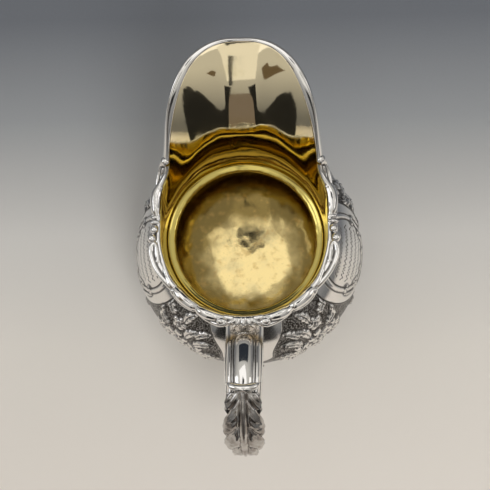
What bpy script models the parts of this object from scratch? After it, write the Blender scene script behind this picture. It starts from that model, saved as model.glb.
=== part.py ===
"""Silver cream jug: a raised bowl, a neck with a broad spout, a cast scroll border, a handle and four feet.

Metres, +Z up. The spout points towards +Y and the handle towards -Y. The origin is under the middle of the
whole jug, on the surface that it stands on. The bowl's own upright axis stands AXIS_Y in front of the origin,
and every length below is measured from that axis.
"""

import math

import bmesh
import bpy
import numpy as np

# Sheet metal and solder joints
SHEET = 0.0010
JOINT_GAP = 0.0003

# Bowl
BOWL_RADIUS = 0.0480
BOWL_WIDEST_Z = 0.0450
BOWL_BOTTOM_Z = 0.0135
BOWL_TOP_Z = 0.0748
BELLY_FULLNESS = 2.3
THROAT_RADIUS = 0.0274

# Neck and rim, measured on the inside of the sheet
THROAT_LIP_Z = 0.0763
LEDGE_RADIUS = 0.0305
LEDGE_Z = 0.0776
RIM_RADIUS = 0.0310
RIM_Z = 0.0915

# Spout, measured on the inside of the sheet
SHOULDER_Y = 0.0120
SPOUT_ROOT_Y = 0.0254
SPOUT_ROOT_HALF_WIDTH = 0.0272
SPOUT_TIP_Y = 0.0624
SPOUT_TIP_Z = 0.1210
SPOUT_RISE_START_Y = 0.0100
SPOUT_RISE_END_Y = 0.0580
SPOUT_SIDE_POWER = 0.75
SPOUT_TIP_POWER = 1.50
REAR_FLARE_ANGLE = math.radians(87)
TIP_FLARE_ANGLE = math.radians(18)
REAR_REACH = 0.0050
TIP_REACH = 0.0190
NECK_STEPS = 30

# Applied wires
LIP_WIRE_RADIUS = 0.0009
NECK_WIRE_RADIUS = 0.0015
NECK_WIRE_SEAT_RADIUS = 0.0308

# Scroll border castings: from and to, as shares of the half rim from the handle to the spout tip
BORDER_HEIGHT = 0.0032
BORDER_WIDTH = 0.0024
BACK_LEAF_HALF_SPAN = 0.050
SIDE_CASTINGS = (
    ("back_scroll", 0.054, 0.126, 1),
    ("rear_scroll", 0.130, 0.206, 1),
    ("quarter_scroll", 0.210, 0.336, 2),
    ("bead_cluster", 0.340, 0.412, 3),
    ("fore_scroll", 0.416, 0.484, 1),
    ("front_scroll", 0.488, 0.566, 2),
)

# Handle: its centre line as (y, z), and its half width and half depth
HANDLE_LINE = (
    (-0.0325, 0.0820),
    (-0.0375, 0.0835),
    (-0.0440, 0.0880),
    (-0.0520, 0.0910),
    (-0.0620, 0.0903),
    (-0.0710, 0.0850),
    (-0.0762, 0.0762),
    (-0.0764, 0.0660),
    (-0.0720, 0.0565),
    (-0.0650, 0.0492),
    (-0.0575, 0.0440),
    (-0.0498, 0.0420),
)
HANDLE_WALL = 0.0013
ARM_HALF_WIDTH = 0.0071
LEAF_HALF_WIDTH = 0.0063
TAIL_HALF_WIDTH = 0.0047
ARM_HALF_DEPTH = 0.0045
TAIL_HALF_DEPTH = 0.0036
REED_DEPTH = 0.0009
COLLAR_SHARE = 0.262
COLLAR_BEAD = 0.0012
COLLAR_HALF_SPAN = math.radians(54)
LEAF_FROM = 0.295
LEAF_TO = 0.640
LEAF_THICKNESS = 0.0009

# Plate that joins the handle's lower end to the bowl
ROOT_LEAF_HALF_ANGLE = math.radians(12)
ROOT_LEAF_LOW_Z = 0.0290
ROOT_LEAF_HIGH_Z = 0.0550
ROOT_LEAF_THICKNESS = 0.0012

# Feet: where they join the bowl and where they stand
FOOT_SEAT_ANGLE = math.radians(46)
FOOT_PAD_DISTANCE = 0.0395
FOOT_PAD_RADIUS = 0.0040
FOOT_TOP_RADIUS = 0.0060
FOOT_QUARTERS = (("front_right", 45), ("front_left", 135), ("back_left", 225), ("back_right", 315))

# Whole jug
HANDLE_REACH = 0.0821
SPOUT_REACH = 0.0635
AXIS_Y = (HANDLE_REACH - SPOUT_REACH) / 2

SILVER = (0.90, 0.89, 0.87, 1.0)
SILVER_ROUGHNESS = 0.12


def clear_scene():
    for old in list(bpy.data.objects):
        bpy.data.objects.remove(old, do_unlink=True)


def new_collection(name):
    made = bpy.data.collections.new(name)
    bpy.context.scene.collection.children.link(made)
    return made


def silver(name):
    material = bpy.data.materials.new(name)
    material.use_nodes = True
    shader = material.node_tree.nodes["Principled BSDF"]
    shader.inputs["Base Color"].default_value = SILVER
    shader.inputs["Metallic"].default_value = 1.0
    shader.inputs["Roughness"].default_value = SILVER_ROUGHNESS
    return material


clear_scene()
JUG = new_collection("silver_cream_jug")
bowl_axis = bpy.data.objects.new("bowl_axis", None)
bowl_axis.location = (0.0, AXIS_Y, 0.0)
JUG.objects.link(bowl_axis)


def add_part(name, mesh):
    """Puts a mesh in the jug as one named part, hung from the bowl's axis."""
    part = bpy.data.objects.new(name, mesh)
    part.parent = bowl_axis
    JUG.objects.link(part)
    mesh.materials.append(silver(name))
    mesh.shade_smooth()
    mesh.set_sharp_from_angle(angle=math.radians(40))
    return part


# ---------------------------------------------------------------- small geometry helpers


def smooth_step(share):
    share = min(max(share, 0.0), 1.0)
    return (3 - 2 * share) * share**2


def unit(vector):
    return np.asarray(vector, float) / np.linalg.norm(vector)


def bezier(a, b, c, d, t):
    s = 1 - t
    return s**3 * a + 3 * s * s * t * b + 3 * s * t * t * c + t**3 * d


def smooth_line(points, count):
    """Points evenly spread along a Catmull-Rom curve through the given ones."""
    given = np.array(points, float)
    padded = np.vstack([2 * given[0] - given[1], given, 2 * given[-1] - given[-2]])
    dense = []
    for p0, p1, p2, p3 in zip(padded, padded[1:], padded[2:], padded[3:]):
        for t in np.linspace(0, 1, 24, endpoint=False):
            bend = (2 * p0 - 5 * p1 + 4 * p2 - p3) * t**2 + (3 * p1 - p0 - 3 * p2 + p3) * t**3
            dense.append(0.5 * (2 * p1 + (p2 - p0) * t + bend))
    return evenly(np.array(dense + [given[-1]]), count)


def evenly(line, count):
    """The same line, resampled to points at equal distances."""
    steps = np.linalg.norm(np.diff(line, axis=0), axis=1)
    along = np.concatenate([[0], np.cumsum(steps)])
    wanted = np.linspace(0, along[-1], count)
    return np.stack([np.interp(wanted, along, line[:, k]) for k in range(line.shape[1])], axis=1)


def loft(name, rings, closed_way_round=False):
    """One closed body through rings of points. Its ends are capped, unless the last ring meets the first."""
    mesh = bpy.data.meshes.new(name)
    shape = bmesh.new()
    rows = [[shape.verts.new(point) for point in ring] for ring in rings]
    pairs = list(zip(rows, rows[1:]))
    if closed_way_round:
        pairs.append((rows[-1], rows[0]))
    else:
        shape.faces.new(rows[0])
        shape.faces.new(rows[-1])
    for low, high in pairs:
        for a, b, c, d in zip(low, low[1:] + low[:1], high[1:] + high[:1], high):
            shape.faces.new((a, b, c, d))
    bmesh.ops.recalc_face_normals(shape, faces=shape.faces)
    shape.to_mesh(mesh)
    shape.free()
    return mesh


def sheet_mesh(name, grid, closed=False):
    """An open surface through rows of points, each row running the same way."""
    mesh = bpy.data.meshes.new(name)
    shape = bmesh.new()
    rows = [[shape.verts.new(point) for point in row] for row in grid]
    for low, high in zip(rows, rows[1:]):
        for a, b, c, d in zip(low, low[1:], high[1:], high):
            shape.faces.new((a, b, c, d))
        if closed:
            shape.faces.new((low[-1], low[0], high[0], high[-1]))
    shape.to_mesh(mesh)
    shape.free()
    return mesh


def thicken(part, thickness):
    """Gives an open surface a thickness on the side that its faces point to."""
    solid = part.modifiers.new("sheet", "SOLIDIFY")
    solid.thickness = thickness
    solid.offset = 1.0
    solid.use_even_offset = True


# ---------------------------------------------------------------- bowl


def belly_point(angle):
    """Outer profile of the bowl: angle runs from -90 degrees at the bottom to the throat."""
    if angle < 0:
        power = 2 / BELLY_FULLNESS
        radius = BOWL_RADIUS * math.cos(angle) ** power
        return radius, BOWL_WIDEST_Z - (BOWL_WIDEST_Z - BOWL_BOTTOM_Z) * math.sin(-angle) ** power
    return BOWL_RADIUS * math.cos(angle), BOWL_WIDEST_Z + SHOULDER_HEIGHT * math.sin(angle)


THROAT_ANGLE = math.acos((THROAT_RADIUS + SHEET) / BOWL_RADIUS)
SHOULDER_HEIGHT = (BOWL_TOP_Z - BOWL_WIDEST_Z) / math.sin(THROAT_ANGLE)


def belly_normal(angle):
    """Outward direction (radius, z) of the bowl's outer profile."""
    low, high = belly_point(angle - 1e-4), belly_point(angle + 1e-4)
    return unit((high[1] - low[1], low[0] - high[0]))


def build_bowl():
    lower = [math.radians(a) for a in (-88, -80, -68, -55, -42, -28, -14)]
    upper = list(np.linspace(0, THROAT_ANGLE, 7))
    outer = [np.array(belly_point(a)) for a in lower + upper]
    inner = [p - SHEET * belly_normal(a) for p, a in zip(outer, lower + upper)]
    inner[-1] = np.array((THROAT_RADIUS, BOWL_TOP_Z))
    bottom = BOWL_BOTTOM_Z
    line = [(0.0, bottom + SHEET)] + inner + outer[::-1] + [(0.0, bottom)]
    mesh = bpy.data.meshes.new("body_bowl")
    mesh.from_pydata([(r, 0.0, z) for r, z in line], [(k, k + 1) for k in range(len(line) - 1)], [])
    part = add_part("body_bowl", mesh)
    turn = part.modifiers.new("turn", "SCREW")
    turn.axis = "Z"
    turn.steps = 56
    turn.render_steps = 56
    turn.use_merge_vertices = True
    turn.merge_threshold = 0.00001


# ---------------------------------------------------------------- neck and spout


def rim_height(y):
    """Level round the back and sides, then an S-shaped rise along the spout."""
    share = (y - SPOUT_RISE_START_Y) / (SPOUT_RISE_END_Y - SPOUT_RISE_START_Y)
    return RIM_Z + (SPOUT_TIP_Z - RIM_Z) * smooth_step(share)


def half_rim():
    """Inner edge of the neck and spout on the +X side, from the handle to the spout tip."""
    back = [(RIM_RADIUS * math.sin(a), -RIM_RADIUS * math.cos(a)) for a in np.linspace(0, math.pi / 2, 60)]
    side = []
    for y in np.linspace(0, SPOUT_ROOT_Y, 40)[1:]:
        narrowing = smooth_step((y - SHOULDER_Y) / (SPOUT_ROOT_Y - SHOULDER_Y))
        side.append((RIM_RADIUS + (SPOUT_ROOT_HALF_WIDTH - RIM_RADIUS) * narrowing, y))
    spout = []
    for a in np.linspace(0, math.pi / 2, 200)[1:]:
        x = SPOUT_ROOT_HALF_WIDTH * max(math.cos(a), 0.0) ** SPOUT_SIDE_POWER
        spout.append((x, SPOUT_ROOT_Y + (SPOUT_TIP_Y - SPOUT_ROOT_Y) * math.sin(a) ** SPOUT_TIP_POWER))
    return evenly(np.array([(x, y, rim_height(y)) for x, y in back + side + spout]), 400)


HALF_RIM = half_rim()


def rim_point(share):
    """Inner edge of the sheet: share is 0 at the handle, 1 at the spout tip, negative on the -X side."""
    place = abs(share) * (len(HALF_RIM) - 1)
    point = np.array([np.interp(place, range(len(HALF_RIM)), HALF_RIM[:, k]) for k in range(3)])
    point[0] *= 1 if share >= 0 else -1
    return point


def rim_share(turn):
    """Share of the half rim reached at a turn of the throat, both 0 at the handle and 1 at the spout."""
    return turn * (0.876 + turn * (-0.804 + turn * 0.928))


def outward_at(share):
    """Level direction out of the rim, square to its plan."""
    ahead = rim_point(min(share + 0.004, 1.0)) - rim_point(max(share - 0.004, 0.0))
    out = unit((ahead[1], -ahead[0], 0.0))
    if share > 0.99 or share < 0.01:
        out = np.array((0.0, 1.0 if share > 0.5 else -1.0, 0.0))
    return out


def wall_point(turn, height):
    """Inner surface of the neck: turn is 0 at the handle and 1 at the spout, height 0 at the ledge, 1 at the rim."""
    angle = math.pi * (turn - 0.5)
    share = rim_share(turn)
    front = math.sin(0.5 * math.pi * max((turn - 0.4) / 0.6, 0.0)) ** 4
    flare = REAR_FLARE_ANGLE + (TIP_FLARE_ANGLE - REAR_FLARE_ANGLE) * front
    reach = REAR_REACH + (TIP_REACH - REAR_REACH) * front
    foot = np.array((LEDGE_RADIUS * math.cos(angle), LEDGE_RADIUS * math.sin(angle), LEDGE_Z))
    edge = rim_point(share)
    rising = np.array((0.0, 0.0, reach))
    leaning = reach * (math.cos(flare) * outward_at(share) + math.sin(flare) * np.array((0, 0, 1.0)))
    return bezier(foot, foot + rising, edge - leaning, edge, height)


def mirrored(point):
    return np.array((-point[0], point[1], point[2]))


def full_turn(row_point, count):
    """A closed row of points from one side's function, spout tip first, with the far side mirrored."""
    turns = np.linspace(1, 0, count + 1)
    near = [row_point(turn) for turn in turns]
    return near + [mirrored(p) for p in near[-2:0:-1]]


def lip_point(turn):
    angle = math.pi * (turn - 0.5)
    return np.array((THROAT_RADIUS * math.cos(angle), THROAT_RADIUS * math.sin(angle), THROAT_LIP_Z))


def build_neck():
    heights = [1 - (1 - h) ** 1.15 for h in np.linspace(0, 1, 8)]
    rows = [full_turn(lip_point, NECK_STEPS)]
    for height in heights:
        rows.append(full_turn(lambda turn, at=height: wall_point(turn, at), NECK_STEPS))
    part = add_part("neck_and_spout", sheet_mesh("neck_and_spout", rows[::-1], closed=True))
    thicken(part, SHEET)


def rim_frame(turn):
    """Edge point, direction up the wall and direction out of the sheet, at a turn of the throat."""
    edge = wall_point(turn, 1.0)
    upward = unit(edge - wall_point(turn, 0.97))
    step = 0.003
    along = wall_point(min(turn + step, 1.0), 1.0) - wall_point(max(turn - step, 0.0), 1.0)
    if turn > 1 - step:
        along = np.array((-1.0, 0.0, 0.0))
    if turn < step:
        along = np.array((1.0, 0.0, 0.0))
    return edge, upward, unit(np.cross(along, upward))


def signed_frame(turn):
    """The same frame for a turn of either sign, negative on the -X side."""
    edge, upward, outward = rim_frame(abs(turn))
    if turn < 0:
        return mirrored(edge), mirrored(upward), mirrored(outward)
    return edge, upward, outward


def turn_of(share):
    """The turn of the throat at which the rim has gone a given share of the way."""
    turns = np.linspace(0, 1, 400)
    return float(np.interp(share, [rim_share(t) for t in turns], turns))


def add_wire(name, points, radius, cyclic=False):
    """A round wire through the points, as a curve with filled ends."""
    curve = bpy.data.curves.new(name, "CURVE")
    curve.dimensions = "3D"
    curve.bevel_depth = radius
    curve.bevel_resolution = 2
    curve.use_fill_caps = True
    line = curve.splines.new("POLY")
    line.points.add(len(points) - 1)
    for place, point in zip(line.points, points):
        place.co = (*point, 1.0)
    line.use_cyclic_u = cyclic
    curve.materials.append(silver(name))
    wire = bpy.data.objects.new(name, curve)
    wire.parent = bowl_axis
    JUG.objects.link(wire)


def build_wires():
    clear = SHEET + JOINT_GAP + LIP_WIRE_RADIUS
    start = turn_of(SIDE_CASTINGS[-1][2] + 0.012)
    near = []
    for turn in np.linspace(start, 1.0, 24):
        edge, upward, outward = rim_frame(turn)
        near.append(edge + clear * outward - LIP_WIRE_RADIUS * upward)
    add_wire("spout_lip_wire", near + [mirrored(p) for p in near[-2::-1]], LIP_WIRE_RADIUS)
    seat = math.acos(NECK_WIRE_SEAT_RADIUS / BOWL_RADIUS)
    middle = np.array(belly_point(seat)) + (NECK_WIRE_RADIUS + JOINT_GAP) * belly_normal(seat)
    turns = np.linspace(0, 2 * math.pi, 52, endpoint=False)
    ring = [(middle[0] * math.cos(a), middle[0] * math.sin(a), middle[1]) for a in turns]
    add_wire("neck_joint_wire", ring, NECK_WIRE_RADIUS, cyclic=True)


# ---------------------------------------------------------------- scroll border


def casting_ring(turn, width, height):
    """Half-round section of a casting: flat against the sheet, round outside."""
    edge, upward, outward = signed_frame(turn)
    back = edge + (SHEET + JOINT_GAP) * outward
    ring = []
    for angle in np.linspace(-math.pi / 2, math.pi / 2, 8):
        drop = 0.5 * BORDER_HEIGHT - 0.5 * height * math.sin(angle)
        ring.append(back + width * math.cos(angle) * outward - drop * upward)
    return ring


def build_casting(name, start, end, swells):
    """A border casting from one share of the half rim to another, with its width rising in swells."""
    first, last = (math.copysign(turn_of(abs(s)), s) for s in (start, end))
    rings = []
    for share in np.linspace(0, 1, 4 * swells + 5):
        ends = math.sin(math.pi * min(max(share, 0.04), 0.96)) ** 0.35
        wave = 0.82 + 0.18 * abs(math.sin(math.pi * swells * share))
        ring = casting_ring(first + (last - first) * share, BORDER_WIDTH * ends * wave, BORDER_HEIGHT * ends)
        rings.append(ring)
    add_part(name, loft(name, rings))


def build_border():
    build_casting("rim_back_leaf", -BACK_LEAF_HALF_SPAN, BACK_LEAF_HALF_SPAN, 3)
    for side, sign in (("left", -1), ("right", 1)):
        for label, start, end, swells in SIDE_CASTINGS:
            build_casting(f"rim_{side}_{label}", sign * start, sign * end, swells)


# ---------------------------------------------------------------- handle


HANDLE_STATIONS = 42
HANDLE_PATH = smooth_line(HANDLE_LINE, HANDLE_STATIONS)


def handle_frame(share):
    """Centre and outer normal of the handle, both in the plane x = 0."""
    place = share * (HANDLE_STATIONS - 1)
    rows = range(HANDLE_STATIONS)
    middle = np.array([np.interp(place, rows, HANDLE_PATH[:, k]) for k in range(2)])
    ahead = min(share + 0.02, 1.0) * (HANDLE_STATIONS - 1)
    behind = max(share - 0.02, 0.0) * (HANDLE_STATIONS - 1)
    step = [np.interp(ahead, rows, HANDLE_PATH[:, k]) - np.interp(behind, rows, HANDLE_PATH[:, k]) for k in range(2)]
    if share in (0.0, 1.0):
        step = (-1.0, 0.0) if share == 0.0 else (1.0, 0.0)
    along = unit(step)
    return np.array((0.0, *middle)), np.array((0.0, along[1], -along[0]))


def handle_size(share):
    """Half width and half depth of the handle's section."""
    to_leaf = smooth_step((share - 0.2) / 0.15)
    to_tail = smooth_step((share - 0.55) / 0.4)
    width = ARM_HALF_WIDTH + (LEAF_HALF_WIDTH - ARM_HALF_WIDTH) * to_leaf
    width += (TAIL_HALF_WIDTH - LEAF_HALF_WIDTH) * to_tail
    return width, ARM_HALF_DEPTH + (TAIL_HALF_DEPTH - ARM_HALF_DEPTH) * to_tail


def reeding(angle):
    """Depth of the flute beside the central reed, at an angle up from the section's side."""
    return REED_DEPTH * math.exp(-(((math.degrees(angle) - 50) / 10) ** 2))


def handle_ring(share, side):
    """C-shaped section of one hollow half of the handle."""
    centre, outward = handle_frame(share)
    width, depth = handle_size(share)
    seam = 0.5 * JOINT_GAP
    outer_angles = [math.radians(a) for a in (90, 74, 61, 50, 40, 24, 5, -25, -58, -90)]
    inner_angles = [math.radians(a) for a in (-90, -35, 10, 50, 90)]
    ring = []
    for angle in outer_angles:
        scale = 1 - reeding(angle) / depth
        ring.append((max(width * scale * math.cos(angle), seam), depth * scale * math.sin(angle)))
    for angle in inner_angles:
        ring.append(
            (
                max((width - HANDLE_WALL) * math.cos(angle), seam),
                (depth - HANDLE_WALL - 0.2 * REED_DEPTH) * math.sin(angle),
            )
        )
    return [centre + np.array((side * x, 0.0, 0.0)) + v * outward for x, v in ring]


def wrapped_point(share, angle, lift):
    """A point on a skin that stands off the handle's outer envelope by a given lift."""
    centre, outward = handle_frame(share)
    width, depth = handle_size(share)
    across = (width + lift) * math.cos(angle)
    return centre + np.array((across, 0.0, 0.0)) + (depth + lift) * math.sin(angle) * outward


def build_collar():
    """A bead saddled across the outer side of the handle, thinning towards its two ends."""
    centre, outward = handle_frame(COLLAR_SHARE)
    along = np.array((0.0, -outward[2], outward[1]))
    rings = []
    for place in np.linspace(-1, 1, 15):
        angle = math.pi / 2 + COLLAR_HALF_SPAN * place
        radius = COLLAR_BEAD * max(1 - abs(place) ** 5, 0.3)
        middle = wrapped_point(COLLAR_SHARE, angle, JOINT_GAP + COLLAR_BEAD)
        lifted = unit(middle - wrapped_point(COLLAR_SHARE, angle, JOINT_GAP))
        turns = np.linspace(0, 2 * math.pi, 10, endpoint=False)
        rings.append([middle + radius * (math.cos(t) * lifted + 1.25 * math.sin(t) * along) for t in turns])
    add_part("handle_collar", loft("handle_collar", rings))


def leaf_span(place):
    """Half angle that the leaf covers, from 0 at its root to 1 at its tip: four lobes on a tapering blade."""
    blade = 82 * (1 - 0.75 * smooth_step((place - 0.62) / 0.38))
    lobes = 1 - 0.16 * abs(math.cos(math.pi * (4 * place + 0.5))) ** 3
    return math.radians(blade * lobes)


def build_leaf_cap():
    rows = []
    for place in np.linspace(0, 1, 22):
        share = LEAF_FROM + (LEAF_TO - LEAF_FROM) * place
        span = leaf_span(place)
        spread = np.linspace(-1, 1, 9)
        rows.append([wrapped_point(share, math.pi / 2 + span * k, JOINT_GAP) for k in spread])
    part = add_part("handle_leaf_cap", sheet_mesh("handle_leaf_cap", rows))
    thicken(part, LEAF_THICKNESS)


def build_handle():
    for name, side in (("handle_left_half", -1), ("handle_right_half", 1)):
        shares = np.linspace(0, 1, 28)
        add_part(name, loft(name, [handle_ring(share, side) for share in shares]))
    build_collar()
    build_leaf_cap()


def belly_radius(z):
    """Outer radius of the bowl at a height."""
    angles = np.linspace(-math.pi / 2, THROAT_ANGLE, 400)
    profile = np.array([belly_point(a) for a in angles])
    return float(np.interp(z, profile[:, 1], profile[:, 0]))


def build_root_leaf():
    """A leaf-shaped plate that lies on the bowl under the handle's lower end."""
    rows = []
    middle = 0.5 * (ROOT_LEAF_LOW_Z + ROOT_LEAF_HIGH_Z)
    for z in np.linspace(ROOT_LEAF_LOW_Z, ROOT_LEAF_HIGH_Z, 11):
        reach = abs(z - middle) / (middle - ROOT_LEAF_LOW_Z)
        span = ROOT_LEAF_HALF_ANGLE * max(1 - reach**2.2, 0.1)
        radius = belly_radius(z) + JOINT_GAP
        angles = [-math.pi / 2 + span * k for k in np.linspace(-1, 1, 7)]
        rows.append([(radius * math.cos(a), radius * math.sin(a), z) for a in angles])
    part = add_part("handle_root_leaf", sheet_mesh("handle_root_leaf", rows))
    thicken(part, ROOT_LEAF_THICKNESS)


# ---------------------------------------------------------------- feet


def foot_line():
    """Centre line of a foot as (distance from the axis, z), square to the bowl at the top, upright at the pad."""
    seat = np.array(belly_point(-FOOT_SEAT_ANGLE))
    out = belly_normal(-FOOT_SEAT_ANGLE)
    top = seat + JOINT_GAP * out
    knee = top + 0.0035 * out
    line = [top, knee, (knee[0] + 0.0004, 0.0120), (knee[0] - 0.0012, 0.0072)]
    return line + [(FOOT_PAD_DISTANCE - 0.0006, 0.0032), (FOOT_PAD_DISTANCE, 0.0)], out


def build_foot(name, angle, path, out):
    radial = np.array((math.cos(angle), math.sin(angle), 0.0))
    sideways = np.array((-math.sin(angle), math.cos(angle), 0.0))
    upright = np.array((0.0, 0.0, 1.0))
    rings = []
    for k, (distance, z) in enumerate(path):
        share = k / (len(path) - 1)
        along = unit(path[min(k + 1, len(path) - 1)] - path[max(k - 1, 0)])
        if share == 0.0:
            along = out
        if share == 1.0:
            along = -upright[1:]
        across = along[1] * radial - along[0] * upright
        waist = 1 - 0.45 * math.sin(math.pi * share) ** 1.5
        size = (FOOT_TOP_RADIUS + (FOOT_PAD_RADIUS - FOOT_TOP_RADIUS) * share) * waist
        centre = distance * radial + z * upright
        turns = np.linspace(0, 2 * math.pi, 12, endpoint=False)
        rings.append([centre + size * (math.cos(t) * across + math.sin(t) * sideways) for t in turns])
    add_part(name, loft(name, rings))


def build_feet():
    points, out = foot_line()
    path = smooth_line(points, 13)
    for label, quarter in FOOT_QUARTERS:
        build_foot(f"foot_{label}", math.radians(quarter), path, out)


build_bowl()
build_neck()
build_wires()
build_border()
build_handle()
build_root_leaf()
build_feet()
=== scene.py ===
"""Silver cream jug with a gilt lining, dressed round the frozen CAD frame.

Metres, +Z up, spout towards +Y. Shapes are worked out from the bowl's own upright axis and then moved to it.
A turn round the jug is counted from the handle, and negative turns lie on the -X side.
"""

import functools
import math

import bpy
import numpy as np
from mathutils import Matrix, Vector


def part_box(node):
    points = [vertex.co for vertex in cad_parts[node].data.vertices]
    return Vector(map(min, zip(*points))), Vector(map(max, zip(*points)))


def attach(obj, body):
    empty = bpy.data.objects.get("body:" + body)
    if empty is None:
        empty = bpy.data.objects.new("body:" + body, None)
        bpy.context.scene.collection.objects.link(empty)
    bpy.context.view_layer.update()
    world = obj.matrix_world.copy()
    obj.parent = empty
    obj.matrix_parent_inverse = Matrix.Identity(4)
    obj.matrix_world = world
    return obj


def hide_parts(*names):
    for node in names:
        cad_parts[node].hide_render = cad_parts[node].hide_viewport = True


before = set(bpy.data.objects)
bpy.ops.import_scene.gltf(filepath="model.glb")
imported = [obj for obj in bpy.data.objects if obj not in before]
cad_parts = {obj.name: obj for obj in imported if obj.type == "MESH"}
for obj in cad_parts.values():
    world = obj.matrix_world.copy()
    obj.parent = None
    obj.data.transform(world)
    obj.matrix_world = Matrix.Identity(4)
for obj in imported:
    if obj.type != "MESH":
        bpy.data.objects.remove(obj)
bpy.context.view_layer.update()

MM = 0.001

# The bowl, its throat and the ledge of solder there. Every radius and Y is measured from the bowl's axis.
BOWL_LOW, BOWL_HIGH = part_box("body_bowl")
AXIS_Y = (BOWL_LOW.y + BOWL_HIGH.y) / 2
BOWL_RADIUS = (BOWL_HIGH.x - BOWL_LOW.x) / 2
BOWL_BOTTOM_Z = BOWL_LOW.z
BOWL_TOP_Z = BOWL_HIGH.z
BOWL_WIDEST_Z = 0.0450
BELLY_FULLNESS = 2.3
THROAT_RADIUS = 0.0274
SHEET = 0.0010
THROAT_ANGLE = math.acos((THROAT_RADIUS + SHEET) / BOWL_RADIUS)
SHOULDER_HEIGHT = (BOWL_TOP_Z - BOWL_WIDEST_Z) / math.sin(THROAT_ANGLE)
THROAT_LIP_Z = 0.0763
LEDGE_RADIUS = 0.0305
LEDGE_Z = 0.0776

# The rim of the neck and spout, how the spout rises, and how the wall flares out at handle and spout.
RIM_RADIUS = 0.0310
RIM_Z = 0.0915
SHOULDER_Y = 0.0120
SPOUT_ROOT_Y = 0.0254
SPOUT_ROOT_HALF_WIDTH = 0.0272
SPOUT_TIP_Y = 0.0624
SPOUT_TIP_Z = 0.1210
SPOUT_RISE = (0.0100, 0.0580)
SPOUT_POWERS = (0.75, 1.50)
FLARE_ANGLES = (math.radians(87), math.radians(18))
REACHES = (0.0050, 0.0190)

# Where each casting begins and ends, as shares of the half rim's length from the handle.
CASTING_SHARES = {
    "back_scroll": (0.052, 0.128),
    "rear_scroll": (0.128, 0.208),
    "quarter_scroll": (0.208, 0.338),
    "bead_cluster": (0.338, 0.414),
    "fore_scroll": (0.414, 0.486),
    "front_scroll": (0.486, 0.568),
}

# The handle's centre line as (Y, Z), and its half width in mm.
HANDLE_LINE = (
    (-0.0325, 0.0820),
    (-0.0375, 0.0835),
    (-0.0440, 0.0880),
    (-0.0520, 0.0910),
    (-0.0620, 0.0903),
    (-0.0710, 0.0850),
    (-0.0762, 0.0762),
    (-0.0764, 0.0660),
    (-0.0720, 0.0565),
    (-0.0650, 0.0492),
    (-0.0575, 0.0440),
    (-0.0498, 0.0420),
)
HANDLE_STATIONS = 400
HANDLE_HALF_WIDTH = 7.1

NOISE_CELLS = 17
HOLLOW_DEPTH = 0.05 * MM


# ---------------------------------------------------------------- numbers and meshes


def smooth_step(share):
    """A smooth rise from nought to one as the share does the same."""
    share = np.clip(share, 0.0, 1.0)
    return (3 - 2 * share) * share**2


def bump(value, centre, width):
    """A smooth hill, one at its centre and nearly nothing at twice its width."""
    return np.exp(-(((value - centre) / width) ** 2))


def unit(vectors):
    vectors = np.asarray(vectors, float)
    return vectors / np.maximum(np.linalg.norm(vectors, axis=-1, keepdims=True), 1e-12)


def sampled(places, known, table):
    """Rows of a table, read between the places where they are known."""
    return np.stack([np.interp(places, known, column) for column in np.transpose(table)], axis=-1)


def lengths_along(line):
    """Distance from the first point of a line to each of its points."""
    return np.concatenate([[0], np.cumsum(np.linalg.norm(np.diff(line, axis=0), axis=1))])


def evenly(line, count):
    """The same line, resampled to points at equal distances."""
    gone = lengths_along(line)
    return sampled(np.linspace(0, gone[-1], count), gone, line)


def smooth_line(points, count):
    """Points evenly spread along a Catmull-Rom curve through the given ones."""
    given = np.array(points, float)
    padded = np.vstack([2 * given[0] - given[1], given, 2 * given[-1] - given[-2]])
    t = np.linspace(0, 1, 24, endpoint=False)[:, None]
    dense = []
    for p0, p1, p2, p3 in zip(padded, padded[1:], padded[2:], padded[3:]):
        bend = (2 * p0 - 5 * p1 + 4 * p2 - p3) * t**2 + (3 * p1 - p0 - 3 * p2 + p3) * t**3
        dense.append(0.5 * (2 * p1 + (p2 - p0) * t + bend))
    return evenly(np.vstack(dense + [given[-1:]]), count)


def value_noise(points, size, seed):
    """Smooth noise between -1 and 1 for points in metres, with features about one size across."""
    rng = np.random.default_rng(seed)
    table = rng.uniform(-1, 1, (NOISE_CELLS,) * 3)
    scaled = np.asarray(points) / size
    cell = np.floor(scaled).astype(int)
    part = smooth_step(scaled - cell)
    total = np.zeros(scaled.shape[:-1])
    for corner in np.ndindex(2, 2, 2):
        place = (cell + corner) % NOISE_CELLS
        weight = np.prod(np.where(np.array(corner) == 1, part, 1 - part), axis=-1)
        total += weight * table[place[..., 0], place[..., 1], place[..., 2]]
    return total


def quad_mesh(name, points, quads, polygons=()):
    """A mesh from points and faces with four corners, with a few many-sided faces added."""
    mesh = bpy.data.meshes.new(name)
    sizes = np.concatenate([np.full(len(quads), 4), [len(p) for p in polygons]]).astype(np.int32)
    corners = np.concatenate([np.ravel(quads)] + [np.ravel(p) for p in polygons]).astype(np.int32)
    starts = np.concatenate([[0], np.cumsum(sizes)[:-1]]).astype(np.int32)
    mesh.vertices.add(len(points))
    mesh.vertices.foreach_set("co", np.ascontiguousarray(points, np.float32).ravel())
    mesh.loops.add(len(corners))
    mesh.loops.foreach_set("vertex_index", corners)
    mesh.polygons.add(len(sizes))
    mesh.polygons.foreach_set("loop_start", starts)
    mesh.polygons.foreach_set("loop_total", sizes)
    mesh.update(calc_edges=True)
    mesh.validate()
    return mesh


def grid_quads(rows, columns, closed_across=False, closed_along=False, first=0):
    """Faces of a grid of points that is stored row by row."""
    index = first + np.arange(rows * columns).reshape(rows, columns)
    if closed_across:
        index = np.hstack([index, index[:, :1]])
    if closed_along:
        index = np.vstack([index, index[:1]])
    return np.stack([index[:-1, :-1], index[:-1, 1:], index[1:, 1:], index[1:, :-1]], axis=-1).reshape(-1, 4)


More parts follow.
